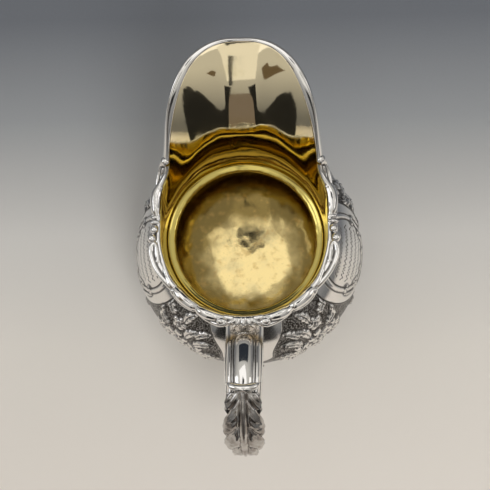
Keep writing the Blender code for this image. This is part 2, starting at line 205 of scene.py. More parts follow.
def paint(mesh, name, values):
    """Stores one number per point, for a material to read."""
    layer = mesh.attributes.new(name, "FLOAT", "POINT")
    layer.data.foreach_set("value", np.ascontiguousarray(values, np.float32).ravel())


def vectors_in(collection, field):
    """The three numbers of every element in one of a mesh's collections."""
    flat = np.zeros(len(collection) * 3, np.float32)
    collection.foreach_get(field, flat)
    return flat.reshape(-1, 3).astype(float)


def move_points(mesh, points):
    mesh.vertices.foreach_set("co", points.astype(np.float32).ravel())
    mesh.update()


def paint_hollows(mesh, rounds, gain):
    """Stores how far each point lies below its smoothed neighbourhood, as the attribute 'hollow'."""
    points = vectors_in(mesh.vertices, "co")
    ends = np.zeros(len(mesh.edges) * 2, np.int32)
    mesh.edges.foreach_get("vertices", ends)
    first, second = ends.reshape(-1, 2).T
    count = np.maximum(np.bincount(ends, minlength=len(points)), 1)[:, None]
    soft = points.copy()
    for _ in range(rounds):
        total = np.zeros_like(soft)
        for k in range(3):
            total[:, k] = np.bincount(first, soft[second, k], len(points))
            total[:, k] += np.bincount(second, soft[first, k], len(points))
        soft = 0.5 * soft + 0.5 * total / count
    depth = np.einsum("ij,ij->i", soft - points, vectors_in(mesh.vertex_normals, "vector"))
    paint(mesh, "hollow", np.clip(gain * depth / HOLLOW_DEPTH, 0, 1))


def add_piece(name, mesh, material, replaced=()):
    """Puts a finished mesh on the jug as one piece that rides on the CAD body."""
    piece = bpy.data.objects.new(name, mesh)
    bpy.context.scene.collection.objects.link(piece)
    piece.location = (0.0, AXIS_Y, 0.0)
    mesh.materials.clear()
    mesh.materials.append(material)
    mesh.shade_smooth()
    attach(piece, "root")
    if replaced:
        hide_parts(*replaced)
    return piece


def finished_mesh(mesh, *steps):
    """The mesh after a list of (modifier kind, settings) has been applied to it."""
    holder = bpy.data.objects.new("in_progress", mesh)
    bpy.context.scene.collection.objects.link(holder)
    for kind, settings in steps:
        modifier = holder.modifiers.new(kind.lower(), kind)
        for key, value in settings.items():
            setattr(modifier, key, value)
    graph = bpy.context.evaluated_depsgraph_get()
    done = bpy.data.meshes.new_from_object(holder.evaluated_get(graph), depsgraph=graph)
    bpy.data.objects.remove(holder, do_unlink=True)
    return done


def turned_outward(mesh):
    """The same closed mesh with its faces pointing out of the metal."""
    points = vectors_in(mesh.vertices, "co")
    mesh.calc_loop_triangles()
    corners = np.zeros(len(mesh.loop_triangles) * 3, np.int32)
    mesh.loop_triangles.foreach_get("vertices", corners)
    a, b, c = np.moveaxis(points[corners.reshape(-1, 3)], 1, 0)
    if np.einsum("ij,ij->", a, np.cross(b, c)) < 0:
        mesh.flip_normals()
    return mesh


def looped_mesh(name, rings):
    """A closed body from rings of points, each ring and the whole run closed on itself."""
    rows, columns = rings.shape[:2]
    return turned_outward(quad_mesh(name, rings.reshape(-1, 3), grid_quads(rows, columns, True, True)))


def capped_mesh(name, rings):
    """A closed body from rings of points, with a flat cap on its first and last ring."""
    rows, columns = rings.shape[:2]
    caps = [np.arange(columns), (rows - 1) * columns + np.arange(columns)[::-1]]
    return turned_outward(quad_mesh(name, rings.reshape(-1, 3), grid_quads(rows, columns, True), caps))


def plate_mesh(name, points, thickness):
    """A thin closed plate round a grid of points."""
    rows, columns = points.shape[:2]
    mesh = quad_mesh(name, points.reshape(-1, 3), grid_quads(rows, columns))
    return turned_outward(finished_mesh(mesh, ("SOLIDIFY", {"thickness": thickness, "offset": 0.0})))


def on_circle(radius, angle, level):
    """Points round the bowl's axis, at angles counted from +X."""
    return np.stack(np.broadcast_arrays(radius * np.cos(angle), radius * np.sin(angle), level), axis=-1)


def round_axis(radius, turn, level):
    """Points round the bowl's axis, at turns counted from the handle."""
    return np.stack(np.broadcast_arrays(radius * np.sin(turn), -radius * np.cos(turn), level), axis=-1)


# ---------------------------------------------------------------- the jug's surfaces, as in the CAD


def belly_point(angle):
    """Outer profile of the bowl as (radius, z) for angles from -90 degrees to the throat."""
    angle = np.asarray(angle, float)
    power = 2 / BELLY_FULLNESS
    low = np.cos(angle) ** power * BOWL_RADIUS
    low_z = BOWL_WIDEST_Z - (BOWL_WIDEST_Z - BOWL_BOTTOM_Z) * np.abs(np.sin(angle)) ** power
    high_z = BOWL_WIDEST_Z + SHOULDER_HEIGHT * np.sin(angle)
    below = angle < 0
    radius = np.where(below, low, BOWL_RADIUS * np.cos(angle))
    return np.stack([radius, np.where(below, low_z, high_z)], axis=-1)


def belly_profile(steps):
    """Points and outward directions up the bowl's profile, and metres along it from the widest ring."""
    dense = belly_point(np.linspace(math.radians(-89.5), THROAT_ANGLE, 3000))
    gone = lengths_along(dense)
    gone -= np.interp(BOWL_WIDEST_Z, dense[:, 1], gone)
    wanted = gone[0] + (gone[-1] - gone[0]) * np.asarray(steps)
    along = unit(sampled(wanted + 2e-4, gone, dense) - sampled(wanted - 2e-4, gone, dense))
    return sampled(wanted, gone, dense), np.stack([along[:, 1], -along[:, 0]], axis=1), wanted


def belly_radius(level, below=None):
    """Outer radius of the bowl at given heights, and what to give below its bottom."""
    profile = belly_point(np.linspace(-1.5, THROAT_ANGLE, 800))
    return np.interp(level, profile[:, 1], profile[:, 0], left=below)


def rim_height(y):
    """Height of the rim: level round the back, then rising towards the spout's tip."""
    share = (y - SPOUT_RISE[0]) / (SPOUT_RISE[1] - SPOUT_RISE[0])
    return RIM_Z + (SPOUT_TIP_Z - RIM_Z) * smooth_step(share)


def half_rim():
    """Inner edge of the neck and spout on the +X side, from the handle to the spout tip."""
    a = np.linspace(0, math.pi / 2, 120)
    back = np.stack([RIM_RADIUS * np.sin(a), -RIM_RADIUS * np.cos(a)], axis=1)
    y = np.linspace(0, SPOUT_ROOT_Y, 80)[1:]
    narrowing = smooth_step((y - SHOULDER_Y) / (SPOUT_ROOT_Y - SHOULDER_Y))
    side = np.stack([RIM_RADIUS + (SPOUT_ROOT_HALF_WIDTH - RIM_RADIUS) * narrowing, y], axis=1)
    a = np.linspace(0, math.pi / 2, 400)[1:]
    x = SPOUT_ROOT_HALF_WIDTH * np.clip(np.cos(a), 0, 1) ** SPOUT_POWERS[0]
    y = SPOUT_ROOT_Y + (SPOUT_TIP_Y - SPOUT_ROOT_Y) * np.sin(a) ** SPOUT_POWERS[1]
    plan = np.vstack([back, side, np.stack([x, y], axis=1)])
    return evenly(np.column_stack([plan, rim_height(plan[:, 1])]), 1200)


HALF_RIM = half_rim()


def rim_point(share):
    place = np.clip(share, 0, 1) * (len(HALF_RIM) - 1)
    return sampled(place, np.arange(len(HALF_RIM)), HALF_RIM)


def rim_share(turn):
    """The share of the half rim that belongs to a turn of the wall, both from 0 at the handle to 1."""
    return turn * (0.876 + turn * (-0.804 + turn * 0.928))


def outward_at(share):
    """Level direction out of the rim, square to its plan."""
    share = np.asarray(share, float)
    ahead = rim_point(share + 0.004) - rim_point(share - 0.004)
    out = unit(np.stack([ahead[..., 1], -ahead[..., 0], np.zeros_like(share)], axis=-1))
    front = (share > 0.99)[..., None]
    back = (share < 0.01)[..., None]
    return np.where(front, (0.0, 1.0, 0.0), np.where(back, (0.0, -1.0, 0.0), out))


def wall_point(turn, height):
    """Inner surface of the neck: turn from 0 at the handle to 1 at the spout, height from ledge to rim."""
    turn, height = np.broadcast_arrays(np.asarray(turn, float), np.asarray(height, float))
    angle = math.pi * (turn - 0.5)
    share = rim_share(turn)
    front = np.sin(0.5 * math.pi * np.clip((turn - 0.4) / 0.6, 0, 1)) ** 4
    flare = FLARE_ANGLES[0] + (FLARE_ANGLES[1] - FLARE_ANGLES[0]) * front
    reach = (REACHES[0] + (REACHES[1] - REACHES[0]) * front)[..., None]
    foot = on_circle(LEDGE_RADIUS, angle, LEDGE_Z)
    edge = rim_point(share)
    upright = np.array((0.0, 0.0, 1.0))
    leaning = reach * (np.cos(flare)[..., None] * outward_at(share) + np.sin(flare)[..., None] * upright)
    t = height[..., None]
    s = 1 - t
    near_foot = 3 * s * s * t * (foot + reach * upright)
    near_edge = 3 * s * t * t * (edge - leaning)
    return s**3 * foot + near_foot + near_edge + t**3 * edge


def signed_wall(turn, height):
    """The same surface for turns of either sign."""
    point = wall_point(np.abs(turn), height)
    point[..., 0] *= np.where(np.asarray(turn) < 0, -1.0, 1.0)
    return point


def rim_frame(turn):
    """Edge point, direction up the wall and direction out of the sheet, for turns of either sign."""
    turn = np.asarray(turn, float)
    size = np.abs(turn)
    edge = wall_point(size, 1.0)
    upward = unit(edge - wall_point(size, 0.97))
    step = 0.003
    along = wall_point(np.minimum(size + step, 1.0), 1.0) - wall_point(np.maximum(size - step, 0.0), 1.0)
    along = np.where((size > 1 - step)[..., None], (-1.0, 0.0, 0.0), along)
    along = np.where((size < step)[..., None], (1.0, 0.0, 0.0), along)
    outward = unit(np.cross(along, upward))
    flip = np.where((turn < 0)[..., None], (-1.0, 1.0, 1.0), (1.0, 1.0, 1.0))
    return edge * flip, upward * flip, outward * flip


TURN_TABLE = np.linspace(0, 1, 2000)
SHARE_TABLE = rim_share(TURN_TABLE)


def turn_of(share):
    """The signed turn of the wall at a signed share of the half rim."""
    return np.sign(share) * np.interp(np.abs(share), SHARE_TABLE, TURN_TABLE)


HANDLE_PATH = smooth_line(HANDLE_LINE, HANDLE_STATIONS)
HANDLE_LENGTH = lengths_along(HANDLE_PATH)[-1] / MM


def handle_frame(share):
    """Centre and outer normal of the handle, both in the plane x = 0."""
    share = np.asarray(share, float)

    def at(place):
        return sampled(np.clip(place, 0, 1) * (HANDLE_STATIONS - 1), np.arange(HANDLE_STATIONS), HANDLE_PATH)

    middle = at(share)
    along = unit(at(share + 0.02) - at(share - 0.02))
    zero = np.zeros_like(share)
    centre = np.stack([zero, middle[..., 0], middle[..., 1]], axis=-1)
    return centre, np.stack([zero, along[..., 1], -along[..., 0]], axis=-1)


def handle_size(share):
    """Half width and half depth of the handle's section."""
    to_leaf = smooth_step((share - 0.2) / 0.15)
    to_tail = smooth_step((share - 0.55) / 0.4)
    return (HANDLE_HALF_WIDTH - 0.8 * to_leaf - 1.6 * to_tail) * MM, (4.5 - 0.9 * to_tail) * MM


def wrapped_point(share, angle, lift):
    """A point that stands off the handle's outer envelope by a given lift."""
    centre, outward = handle_frame(share)
    width, depth = handle_size(share)
    across = (width + lift) * np.cos(angle)
    level = np.stack([across, np.zeros_like(across), np.zeros_like(across)], axis=-1)
    return centre + level + ((depth + lift) * np.sin(angle))[..., None] * outward


# ---------------------------------------------------------------- chased ornament, in millimetres


CARTOUCHE_TURN = math.radians(84.5)
CARTOUCHE_RISE = 20.0
CARTOUCHE_RADIUS = 14.2
FRAME_STEP = 2.3
RESERVE_STEP = 7.3
GROUND_DEPTH = 0.40
PLAIN_BY_HANDLE = 4.8
HEM_DROP = 31.0
PANEL_TOP = 33.4
SWAG_DROP = 17.0
FRONT_PANEL_END = math.radians(147)
PANEL_MIDDLES = (35.0, 128.0)
PLAIN_TOP = 0.0015


def flower(x, y, radius, petals, turn):
    """Height of an open flower: two rows of petals round a button."""
    reach = np.hypot(x, y) / radius
    way = np.arctan2(y, x) - turn
    height = np.zeros_like(reach)
    for size, shift, rise in ((1.0, 0.0, 0.80), (0.64, 0.5, 1.10)):
        lobe = np.abs(np.cos(0.5 * petals * way + math.pi * shift))
        share = reach / (size * (0.62 + 0.38 * lobe**0.8))
        petal = rise * np.sqrt(np.clip(1 - share**4, 0, 1))
        height = np.maximum(height, petal * (0.30 + 0.70 * lobe**0.6) * (0.55 + 0.45 * share))
    button = 1.05 * np.sqrt(np.clip(1 - (reach / 0.22) ** 2, 0, 1))
    return np.where(reach < 0.30, np.maximum(button, 0.30), height)


def leaf(x, y, length, width, turn, lobes=4):
    """Height of a serrated leaf that grows from the origin, with a sunk midrib and side veins."""
    along = (x * math.cos(turn) + y * math.sin(turn)) / length
    across = -x * math.sin(turn) + y * math.cos(turn) - 0.14 * length * np.sin(math.pi * np.clip(along, 0, 1))
    blade = np.sin(math.pi * np.clip(along, 0, 1) ** 0.8) ** 0.75
    half = 0.5 * width * blade * (1 - 0.30 * np.abs(np.sin(lobes * math.pi * along + 0.9))) + 1e-6
    share = np.abs(across) / half
    body = np.sqrt(np.clip(1 - share**4, 0, 1))
    veins = 0.5 + 0.5 * np.cos(2 * math.pi * (lobes * along - 1.1 * share))
    height = body * (0.62 + 0.30 * share - 0.40 * bump(across, 0, 0.28) - 0.28 * veins * share)
    return np.where((along > 0) & (along < 1), height, 0.0)


def curl_line(start, heading, length, bends, count=60):
    """Points along a curl whose bend, in turns per millimetre, runs from the first value to the last."""
    s = np.linspace(0, length, count)
    heading = heading + 2 * math.pi * (bends[0] * s + 0.5 * (bends[1] - bends[0]) * s**2 / length)
    step = length / (count - 1)
    x = start[0] + np.concatenate([[0], np.cumsum(np.cos(heading[:-1]))]) * step
    y = start[1] + np.concatenate([[0], np.cumsum(np.sin(heading[:-1]))]) * step
    return np.stack([x, y], axis=1)


def ridge(x, y, line, radius, rise, end_knob=1.0):
    """Height of a rounded ridge along a line, swelling to a knob at its last point."""
    height = np.zeros_like(x)
    low, high = line.min(axis=0) - 2 * radius, line.max(axis=0) + 2 * radius
    near = (x > low[0]) & (x < high[0]) & (y > low[1]) & (y < high[1])
    if not near.any():
        return height
    gaps = np.hypot(x[near][:, None] - line[:, 0], y[near][:, None] - line[:, 1])
    place = np.linspace(0, 1, len(line))
    swell = 0.45 + 0.55 * np.sin(math.pi * (0.12 + 0.62 * place))
    sizes = radius * (swell + (end_knob - 0.8) * bump(place, 1, 0.05))
    height[near] = rise * np.sqrt(np.clip(1 - (gaps / sizes) ** 2, 0, 1)).max(axis=1)
    return height


# Flowers are rows of place across and up, radius, petals and turn. Leaves are rows of place, length, width
# and turn. Curls are rows of start, heading, length and bends.
PANEL_FLOWERS = (
    (-3.0, 9.5, 5.4, 5, 0.3),
    (5.5, 7.0, 4.6, 5, 1.0),
    (-10.5, 7.5, 4.4, 6, 0.7),
    (-4.0, 19.5, 3.6, 5, 0.2),
    (11.0, 1.0, 3.8, 5, 0.5),
    (-2.0, -4.5, 5.0, 6, 0.9),
    (-11.5, -6.0, 4.2, 5, 0.1),
    (6.5, -10.5, 4.4, 5, 0.6),
    (-4.5, -17.5, 4.0, 5, 0.4),
)
PANEL_LEAVES = (
    (-7.5, 13.5, 9.0, 4.8, 2.45),
    (-7.0, 22.5, 9.0, 4.8, 2.30),
    (-2.0, 22.0, 8.5, 4.6, 1.15),
    (0.5, 13.5, 9.5, 4.8, 1.05),
    (4.5, 17.5, 8.5, 4.6, 0.80),
    (4.5, 11.0, 10.5, 5.0, 0.62),
    (9.5, 6.5, 8.0, 4.2, 0.15),
    (-6.5, 2.0, 8.5, 4.4, 3.30),
    (4.0, -1.5, 9.0, 4.4, -0.35),
    (-5.5, -9.5, 9.0, 4.6, 3.75),
    (2.5, -12.5, 9.5, 4.6, 4.30),
    (11.0, -7.0, 7.5, 3.8, -0.50),
    (-9.5, -15.0, 8.5, 4.2, 4.05),
    (-0.5, -21.0, 8.0, 4.0, 4.85),
)
PANEL_CURLS = (
    ((-13.5, 15.0), 1.2, 12.0, (0.012, 0.110)),
    ((-12.0, -19.0), -0.9, 15.0, (0.015, 0.080)),
    ((13.0, -13.0), -2.0, 15.0, (-0.010, -0.085)),
)
SWAG_FLOWERS = (
    (0.0, 0.0, 4.6, 5, 0.3),
    (6.8, 3.2, 3.9, 5, 0.8),
    (12.8, 9.0, 3.6, 6, 0.2),
    (4.0, -6.6, 3.8, 5, 0.5),
)
SWAG_LEAVES = (
    (3.0, -0.5, 8.5, 4.4, -0.35),
    (2.0, 2.5, 8.0, 4.2, 1.35),
    (9.5, 5.5, 7.5, 4.0, 0.15),
    (6.0, -6.0, 8.0, 4.0, -0.60),
    (10.0, 8.0, 7.5, 3.8, 2.30),
    (15.0, 12.0, 7.0, 3.6, 0.85),
)


def with_leaves(height, x, y, leaves):
    """The height with leaves laid over it, each a row of place, length, width and turn."""
    for left, up, length, width, turn in leaves:
        height = np.maximum(height, leaf(x - left, y - up, length, width, turn))
    return height


def bouquet(x, y):
    """Flowers, leaves and curls of one panel, measured from its middle."""
    height = np.zeros_like(x)
    for start, heading, length, bends in PANEL_CURLS:
        height = np.maximum(height, ridge(x, y, curl_line(start, heading, length, bends), 0.85, 0.7, 1.5))
    height = with_leaves(height, x, y, PANEL_LEAVES)
    for left, up, radius, petals, turn in PANEL_FLOWERS:
        bloom = flower(x - left, y - up, radius, petals, turn)
        inside = np.hypot(x - left, y - up) < radius * 0.62
        height = np.where(inside, bloom, np.maximum(height, bloom))
    return height


def swag(x, y):
    """Flowers and leaves under a cartouche, the same on both sides of its middle."""
    x = np.abs(x)
    height = ridge(x, y, curl_line((0.5, -11.0), 0.25, 13.0, (0.02, 0.09)), 0.8, 0.6, 1.4)
    height = with_leaves(height, x, y, SWAG_LEAVES)
    for left, up, radius, petals, turn in SWAG_FLOWERS:
        height = np.maximum(height, flower(x - left, y - up, radius, petals, turn))
    return height


def panel_edge(turn, rise, radius):
    """Distance in mm inside the chased zone, negative in the plain parts, at an unsigned turn."""
    plain = PLAIN_BY_HANDLE + 5.5 * smooth_step((rise - 4.0) / 6.0) + 4.2 * smooth_step((rise - 13.0) / 14.0)
    from_cartouche = np.hypot(radius * (turn - CARTOUCHE_TURN), rise - CARTOUCHE_RISE)
    reserve = from_cartouche - CARTOUCHE_RADIUS - RESERVE_STEP
    front = radius * (FRONT_PANEL_END - turn) + 2.5 * np.sin(0.16 * rise)
    hem = rise + HEM_DROP - 2.2 * np.abs(np.sin(7.0 * turn))
    return np.minimum.reduce([radius * turn - plain, reserve, front, hem, PANEL_TOP - rise])


SCROLL_ANGLES = (-152, -118, -90, -62, -28)


def notched_scrolls(x, y):
    """The curls that grip the cartouche frame, round its lower half."""
    height = np.zeros_like(x)
    base = CARTOUCHE_RADIUS + FRAME_STEP + 1.0
    for way in np.radians(SCROLL_ANGLES):
        start = (base * math.cos(way), base * math.sin(way))
        for side in (-1, 1):
            line = curl_line(start, way + side * 1.75, 6.5, (-side * 0.01, side * 0.14))
            height = np.maximum(height, ridge(x, y, line, 0.75, 0.55, 1.6))
    return height


def ornament(turn, rise, radius, spot):
    """Relief in mm over the whole bowl, and the fields that the chased silver's material reads."""
    unsigned = np.abs(turn)
    edge = panel_edge(unsigned, rise, radius)
    inside = smooth_step(edge / 0.6)
    frame_x = radius * (unsigned - CARTOUCHE_TURN)
    frame_y = rise - CARTOUCHE_RISE
    ring = np.hypot(frame_x, frame_y) - CARTOUCHE_RADIUS

    by_handle = unsigned < CARTOUCHE_TURN
    x = np.where(by_handle, -1.0, 1.0) * radius * (unsigned - np.radians(np.where(by_handle, *PANEL_MIDDLES)))
    blooms = np.maximum(bouquet(x, rise), swag(frame_x, rise + SWAG_DROP))
    blooms *= smooth_step((edge + 0.2) / 1.2)

    relief = -GROUND_DEPTH * inside
    relief = np.where(blooms > 0.02, np.maximum(relief, 1.75 * blooms - 0.22), relief)
    relief += 0.16 * bump(edge, 0.9, 0.35) - 0.18 * bump(edge, 0.1, 0.4)
    relief += 0.40 * bump(ring, 0.5 * FRAME_STEP, 0.75) - 0.16 * bump(ring, -0.2, 0.35)
    relief -= 0.16 * bump(ring, FRAME_STEP + 0.2, 0.35)
    relief = np.maximum(relief, notched_scrolls(frame_x, frame_y))
    relief += 0.05 * value_noise(spot, 0.0016, 4) * inside
    ground = inside * (blooms < 0.08)
    return relief, {"ground": ground, "edge": edge, "ring": ring, "across": frame_x, "up": frame_y}


def crowded(places, crowd, count, endpoint=True):
    """Places picked closer together where the crowd is high."""
    gone = np.concatenate([[0], np.cumsum(0.5 * (crowd[1:] + crowd[:-1]))])
    return np.interp(np.linspace(0, gone[-1], count, endpoint=endpoint), gone, places)


def bowl_columns(count):
    """Turns of the grid's columns, closer together where the silver is chased."""
    even = np.linspace(-math.pi, math.pi, 4001)
    size = np.degrees(np.abs(even))
    crowd = 0.75 + 1.0 * smooth_step((size - 8) / 8) * smooth_step((152 - size) / 6)
    return crowded(even, crowd, count, endpoint=False)


def bowl_rows(count):
    """Shares of the profile for the grid's rows, closer together where the silver is chased."""
    even = np.linspace(0, 1, 2001)
    return crowded(even, 0.45 + 1.0 * smooth_step((even - 0.28) / 0.08), count)


def chased_face(turns, rows):
    """Points of the bowl's outer face, and the fields over it."""
    line, out, rise = belly_profile(bowl_rows(rows))
    turn, radius = np.meshgrid(turns, line[:, 0])
    level = np.broadcast_to(line[:, 1:], turn.shape)
    height = np.broadcast_to(rise[:, None] / MM, turn.shape)
    relief, fields = ornament(turn, height, radius / MM, round_axis(radius, turn, level))
    relief *= MM * smooth_step((BOWL_TOP_Z - level) / PLAIN_TOP)
    return round_axis(radius + relief * out[:, :1], turn, level + relief * out[:, 1:]), fields


def plain_face(turns, rows):
    """Points of the silver face inside the bowl, under the gilding."""
    line, out, _ = belly_profile(np.linspace(0, 1, rows))
    line = line - 0.85 * SHEET * out
    line[-1] = (THROAT_RADIUS + 0.15 * SHEET, BOWL_TOP_Z)
    return round_axis(line[:, :1], turns, line[:, 1:])


def bowl_lids(rows, columns, inner_rows, inner_columns):
    """Faces that join the two faces at the throat, and close each of them at the bottom."""
    first = rows * columns
    outer_top = first - columns + np.arange(columns + 1) % columns
    inner_top = first + (inner_rows - 1) * inner_columns + np.arange(inner_columns + 1) % inner_columns
    step = columns // inner_columns
    lids = []
    for k in range(inner_columns):
        last = (k + 1) * step if k < inner_columns - 1 else columns
        lids.append([*outer_top[k * step : last + 1], inner_top[k + 1], inner_top[k]])
    return lids + [np.arange(columns)[::-1], first + np.arange(inner_columns)]


def build_bowl_silver():
    """Raised and chased outside, plain inside where the gilding covers it."""
    columns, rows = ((560, 158))
    inner_columns, inner_rows = 80, 40
    turns = bowl_columns(columns)
    outer, fields = chased_face(turns, rows)
    inner = plain_face(turns[:: columns // inner_columns][:inner_columns], inner_rows)
    outside = grid_quads(rows, columns, closed_across=True)
    inside = grid_quads(inner_rows, inner_columns, closed_across=True, first=rows * columns)[:, ::-1]
    points = np.vstack([outer.reshape(-1, 3), inner.reshape(-1, 3)])
    lids = bowl_lids(rows, columns, inner_rows, inner_columns)
    mesh = quad_mesh("bowl_silver", points, np.vstack([outside, inside]), lids)
    paint_hollows(mesh, 6, 1.1)
    far_away = {"edge": -50.0, "ring": 50.0}
    for name, field in fields.items():
        under_gilding = np.full(inner_rows * inner_columns, far_away.get(name, 0.0))
        paint(mesh, name, np.concatenate([field.ravel(), under_gilding]))
    return mesh


# ---------------------------------------------------------------- gilding, neck and lip


def build_bowl_gilding():
    """The gilt face of the bowl's inside, with faint hammer marks and a shallow ring round the bottom."""
    columns, rows = 260, 150
    line, out, _ = belly_profile(np.linspace(0, 1, rows))
    line = line - SHEET * out
    turns = np.linspace(-math.pi, math.pi, columns, endpoint=False)
    radius = np.maximum(line[:, :1], 0.0004)
    level = line[:, 1:]
    spot = round_axis(radius, turns, level)
    dents = 0.10 * value_noise(spot, 0.0075, 11) + 0.05 * value_noise(spot, 0.0032, 12)
    floor = smooth_step((0.030 - level) / 0.008)
    ring = 0.10 * MM * bump(radius, 0.0215, 0.0028) * floor
    push = MM * dents * (0.35 + 0.65 * floor) - ring
    points = spot + push[..., None] * round_axis(out[:, :1], turns, out[:, 1:])
    quads = grid_quads(rows, columns, closed_across=True)[:, ::-1]
    mesh = quad_mesh("bowl_gilding", points.reshape(-1, 3), quads, [np.arange(columns)])
    return finished_mesh(mesh, ("SOLIDIFY", {"thickness": 0.0001, "offset": -1.0}))


def neck_rows(count):
    """Heights of the wall's rings, closer together towards the rim."""
    return 1 - (1 - np.linspace(0, 1, count)) ** 1.15


def neck_surface(turns, heights, lift):
    """The neck's inner face moved along its own outward direction, with the slight waves left by raising."""
    turn, height = np.meshgrid(turns, heights)
    at = signed_wall(turn, height)
    step = 0.004
    side = signed_wall(turn + step, height) - signed_wall(turn - step, height)
    nudged = np.clip(height, step, 1 - step)
    rise = signed_wall(turn, nudged + step) - signed_wall(turn, nudged - step)
    outward = unit(np.cross(side, rise))
    front = smooth_step((np.abs(turn) - 0.45) / 0.4)
    waves = 0.16 * value_noise(at, 0.0090, 21) + 0.05 * value_noise(at, 0.0042, 22)
    calm = 1 - 0.8 * smooth_step((height - 0.45) / 0.3)
    fade = smooth_step((1 - height) / 0.08)
    return at + outward * (lift + MM * waves * calm * fade * (0.5 + 0.5 * front))[..., None]


def throat_rings(turns, lift):
    """Rings of the throat ledge: down over the solder line, the flat shelf, and the fillet into the wall."""
    angle = math.pi * (turns - 0.5)
    ragged = 0.00010 * np.sin(17 * angle) * np.sin(5 * angle + 1) + 0.00005 * np.sin(43 * angle + 2)
    profile = (
        (THROAT_RADIUS + 0.0001, BOWL_TOP_Z - 0.0002, 0.0),
        (THROAT_RADIUS + 0.0001, THROAT_LIP_Z - 0.0009, 1.0),
        (THROAT_RADIUS + 0.0002, THROAT_LIP_Z - 0.0003, 1.0),
        (THROAT_RADIUS + 0.0007, THROAT_LIP_Z + 0.0001, 0.6),
        (THROAT_RADIUS + 0.0014, THROAT_LIP_Z + 0.0003, 0.2),
        (THROAT_RADIUS + 0.0022, THROAT_LIP_Z + 0.0006, 0.0),
        (LEDGE_RADIUS - 0.0004, LEDGE_Z - 0.0003, 0.0),
    )
    rings = []
    rings = [on_circle(wide + lift - ragged * rough, angle, level - lift) for wide, level, rough in profile]
    return np.stack(rings)


def neck_turns(count):
    """Turns the whole way round, from the handle by way of the spout."""
    side = np.linspace(0, 1, count // 2 + 1)
    return np.concatenate([side, -side[-2:0:-1]])


def neck_rings(turns, heights, lift):
    """Rings over the throat's ledge and up the wall, lifted off the gilt face."""
    ledge = throat_rings(np.where(turns < 0, 2 + turns, turns), lift)
    return np.vstack([ledge, neck_surface(turns, heights, lift)])


def build_neck_gilding():
    """Gilt inner face of the neck and spout, right up to the silver lip."""
    turns = neck_turns(440)
    heights = neck_rows(84)[1:]
    back = neck_rings(turns, heights[::6], 0.0003)[::-1]
    return looped_mesh("neck_gilding", np.vstack([neck_rings(turns, heights, 0.0), back]))


def build_neck_silver():
    """Polished outer face of the neck and spout."""
    turns = neck_turns(320)
    inner = neck_rings(turns, neck_rows(12)[1:], 0.0004)
    outer = neck_rings(turns, neck_rows(70)[1:], SHEET)[::-1]
    return looped_mesh("neck_silver", np.vstack([inner, outer]))


def lip_section(turn):
    """Outline of the lip in mm, out of the sheet and up it. It turns out widest at the spout's shoulders."""
    size = abs(turn)
    top = 0.65 + 2.3 * bump(size, 0.86, 0.10) + 0.35 * smooth_step((size - 0.9) / 0.1)
    down = 0.15 + 0.85 * smooth_step((0.80 - size) / 0.15)
    return (
        (0.02, -down),
        (-0.14, 0.15 - down),
        (-0.14, 0.45 * top),
        (0.10, top - 0.35),
        (0.70, top),
        (1.60, top - 0.05),
        (2.50, top - 0.45),
        (3.02, top - 1.10),
        (3.05, -0.75),
        (2.65, -1.20),
        (1.90, -1.45),
        (1.20, -1.50),
        (1.00, -0.50),
        (0.40, -0.50),
    )


def build_lip():
    """Plain silver lip round the spout: a rounded band turned outward from the edge of the sheet."""
    first = turn_of(CASTING_SHARES["front_scroll"][1] - 0.004)
    side = np.linspace(first, 1, 150)
    turns = np.concatenate([side, -side[-2::-1]])
    edge, upward, outward = rim_frame(turns)
    section_points = 40
    middle = np.array((1.5, -0.4)) * MM
    ends = np.minimum(np.arange(len(turns)), np.arange(len(turns))[::-1]) / 3.0
    size = np.sqrt(np.clip(1 - (1 - np.clip(ends, 0.15, 1)) ** 2, 0, 1))
    rings = []
    for k, turn in enumerate(turns):
        outline = lip_section(turn)
        section = smooth_line(outline + outline[:1], section_points + 1)[:-1] * MM
        out, up = (middle + (section - middle) * size[k]).T
        rings.append(edge[k] + out[:, None] * outward[k] + up[:, None] * upward[k])
    return capped_mesh("spout_lip", np.stack(rings))


MOULDING_RADIUS = 0.0308
MOULDING_STEP = 0.0011
PEARLS = 96


def build_neck_moulding():
    """Moulded wire over the joint of neck and bowl: a fine bead, a hollow and a row of small pearls."""
    radius, level = belly_point(math.acos(MOULDING_RADIUS / BOWL_RADIUS))
    turns = np.linspace(0, 2 * math.pi, 720, endpoint=False)
    around = np.linspace(0, 2 * math.pi, 24, endpoint=False)
    turn, way = np.meshgrid(turns, around, indexing="ij")
    pearls = 0.22 * np.abs(np.sin(PEARLS / 2 * turn)) ** 0.7 * np.clip(np.cos(way - 0.7), 0, 1)
    thick = MM * (1.35 + pearls + 0.18 * bump(way, 2.6, 0.35) - 0.20 * bump(way, 1.9, 0.25))
    wide = radius + MOULDING_STEP + thick * np.cos(way)
    return looped_mesh("neck_moulding", on_circle(wide, turn, level + MOULDING_STEP + thick * np.sin(way)))


# ---------------------------------------------------------------- castings made of strands


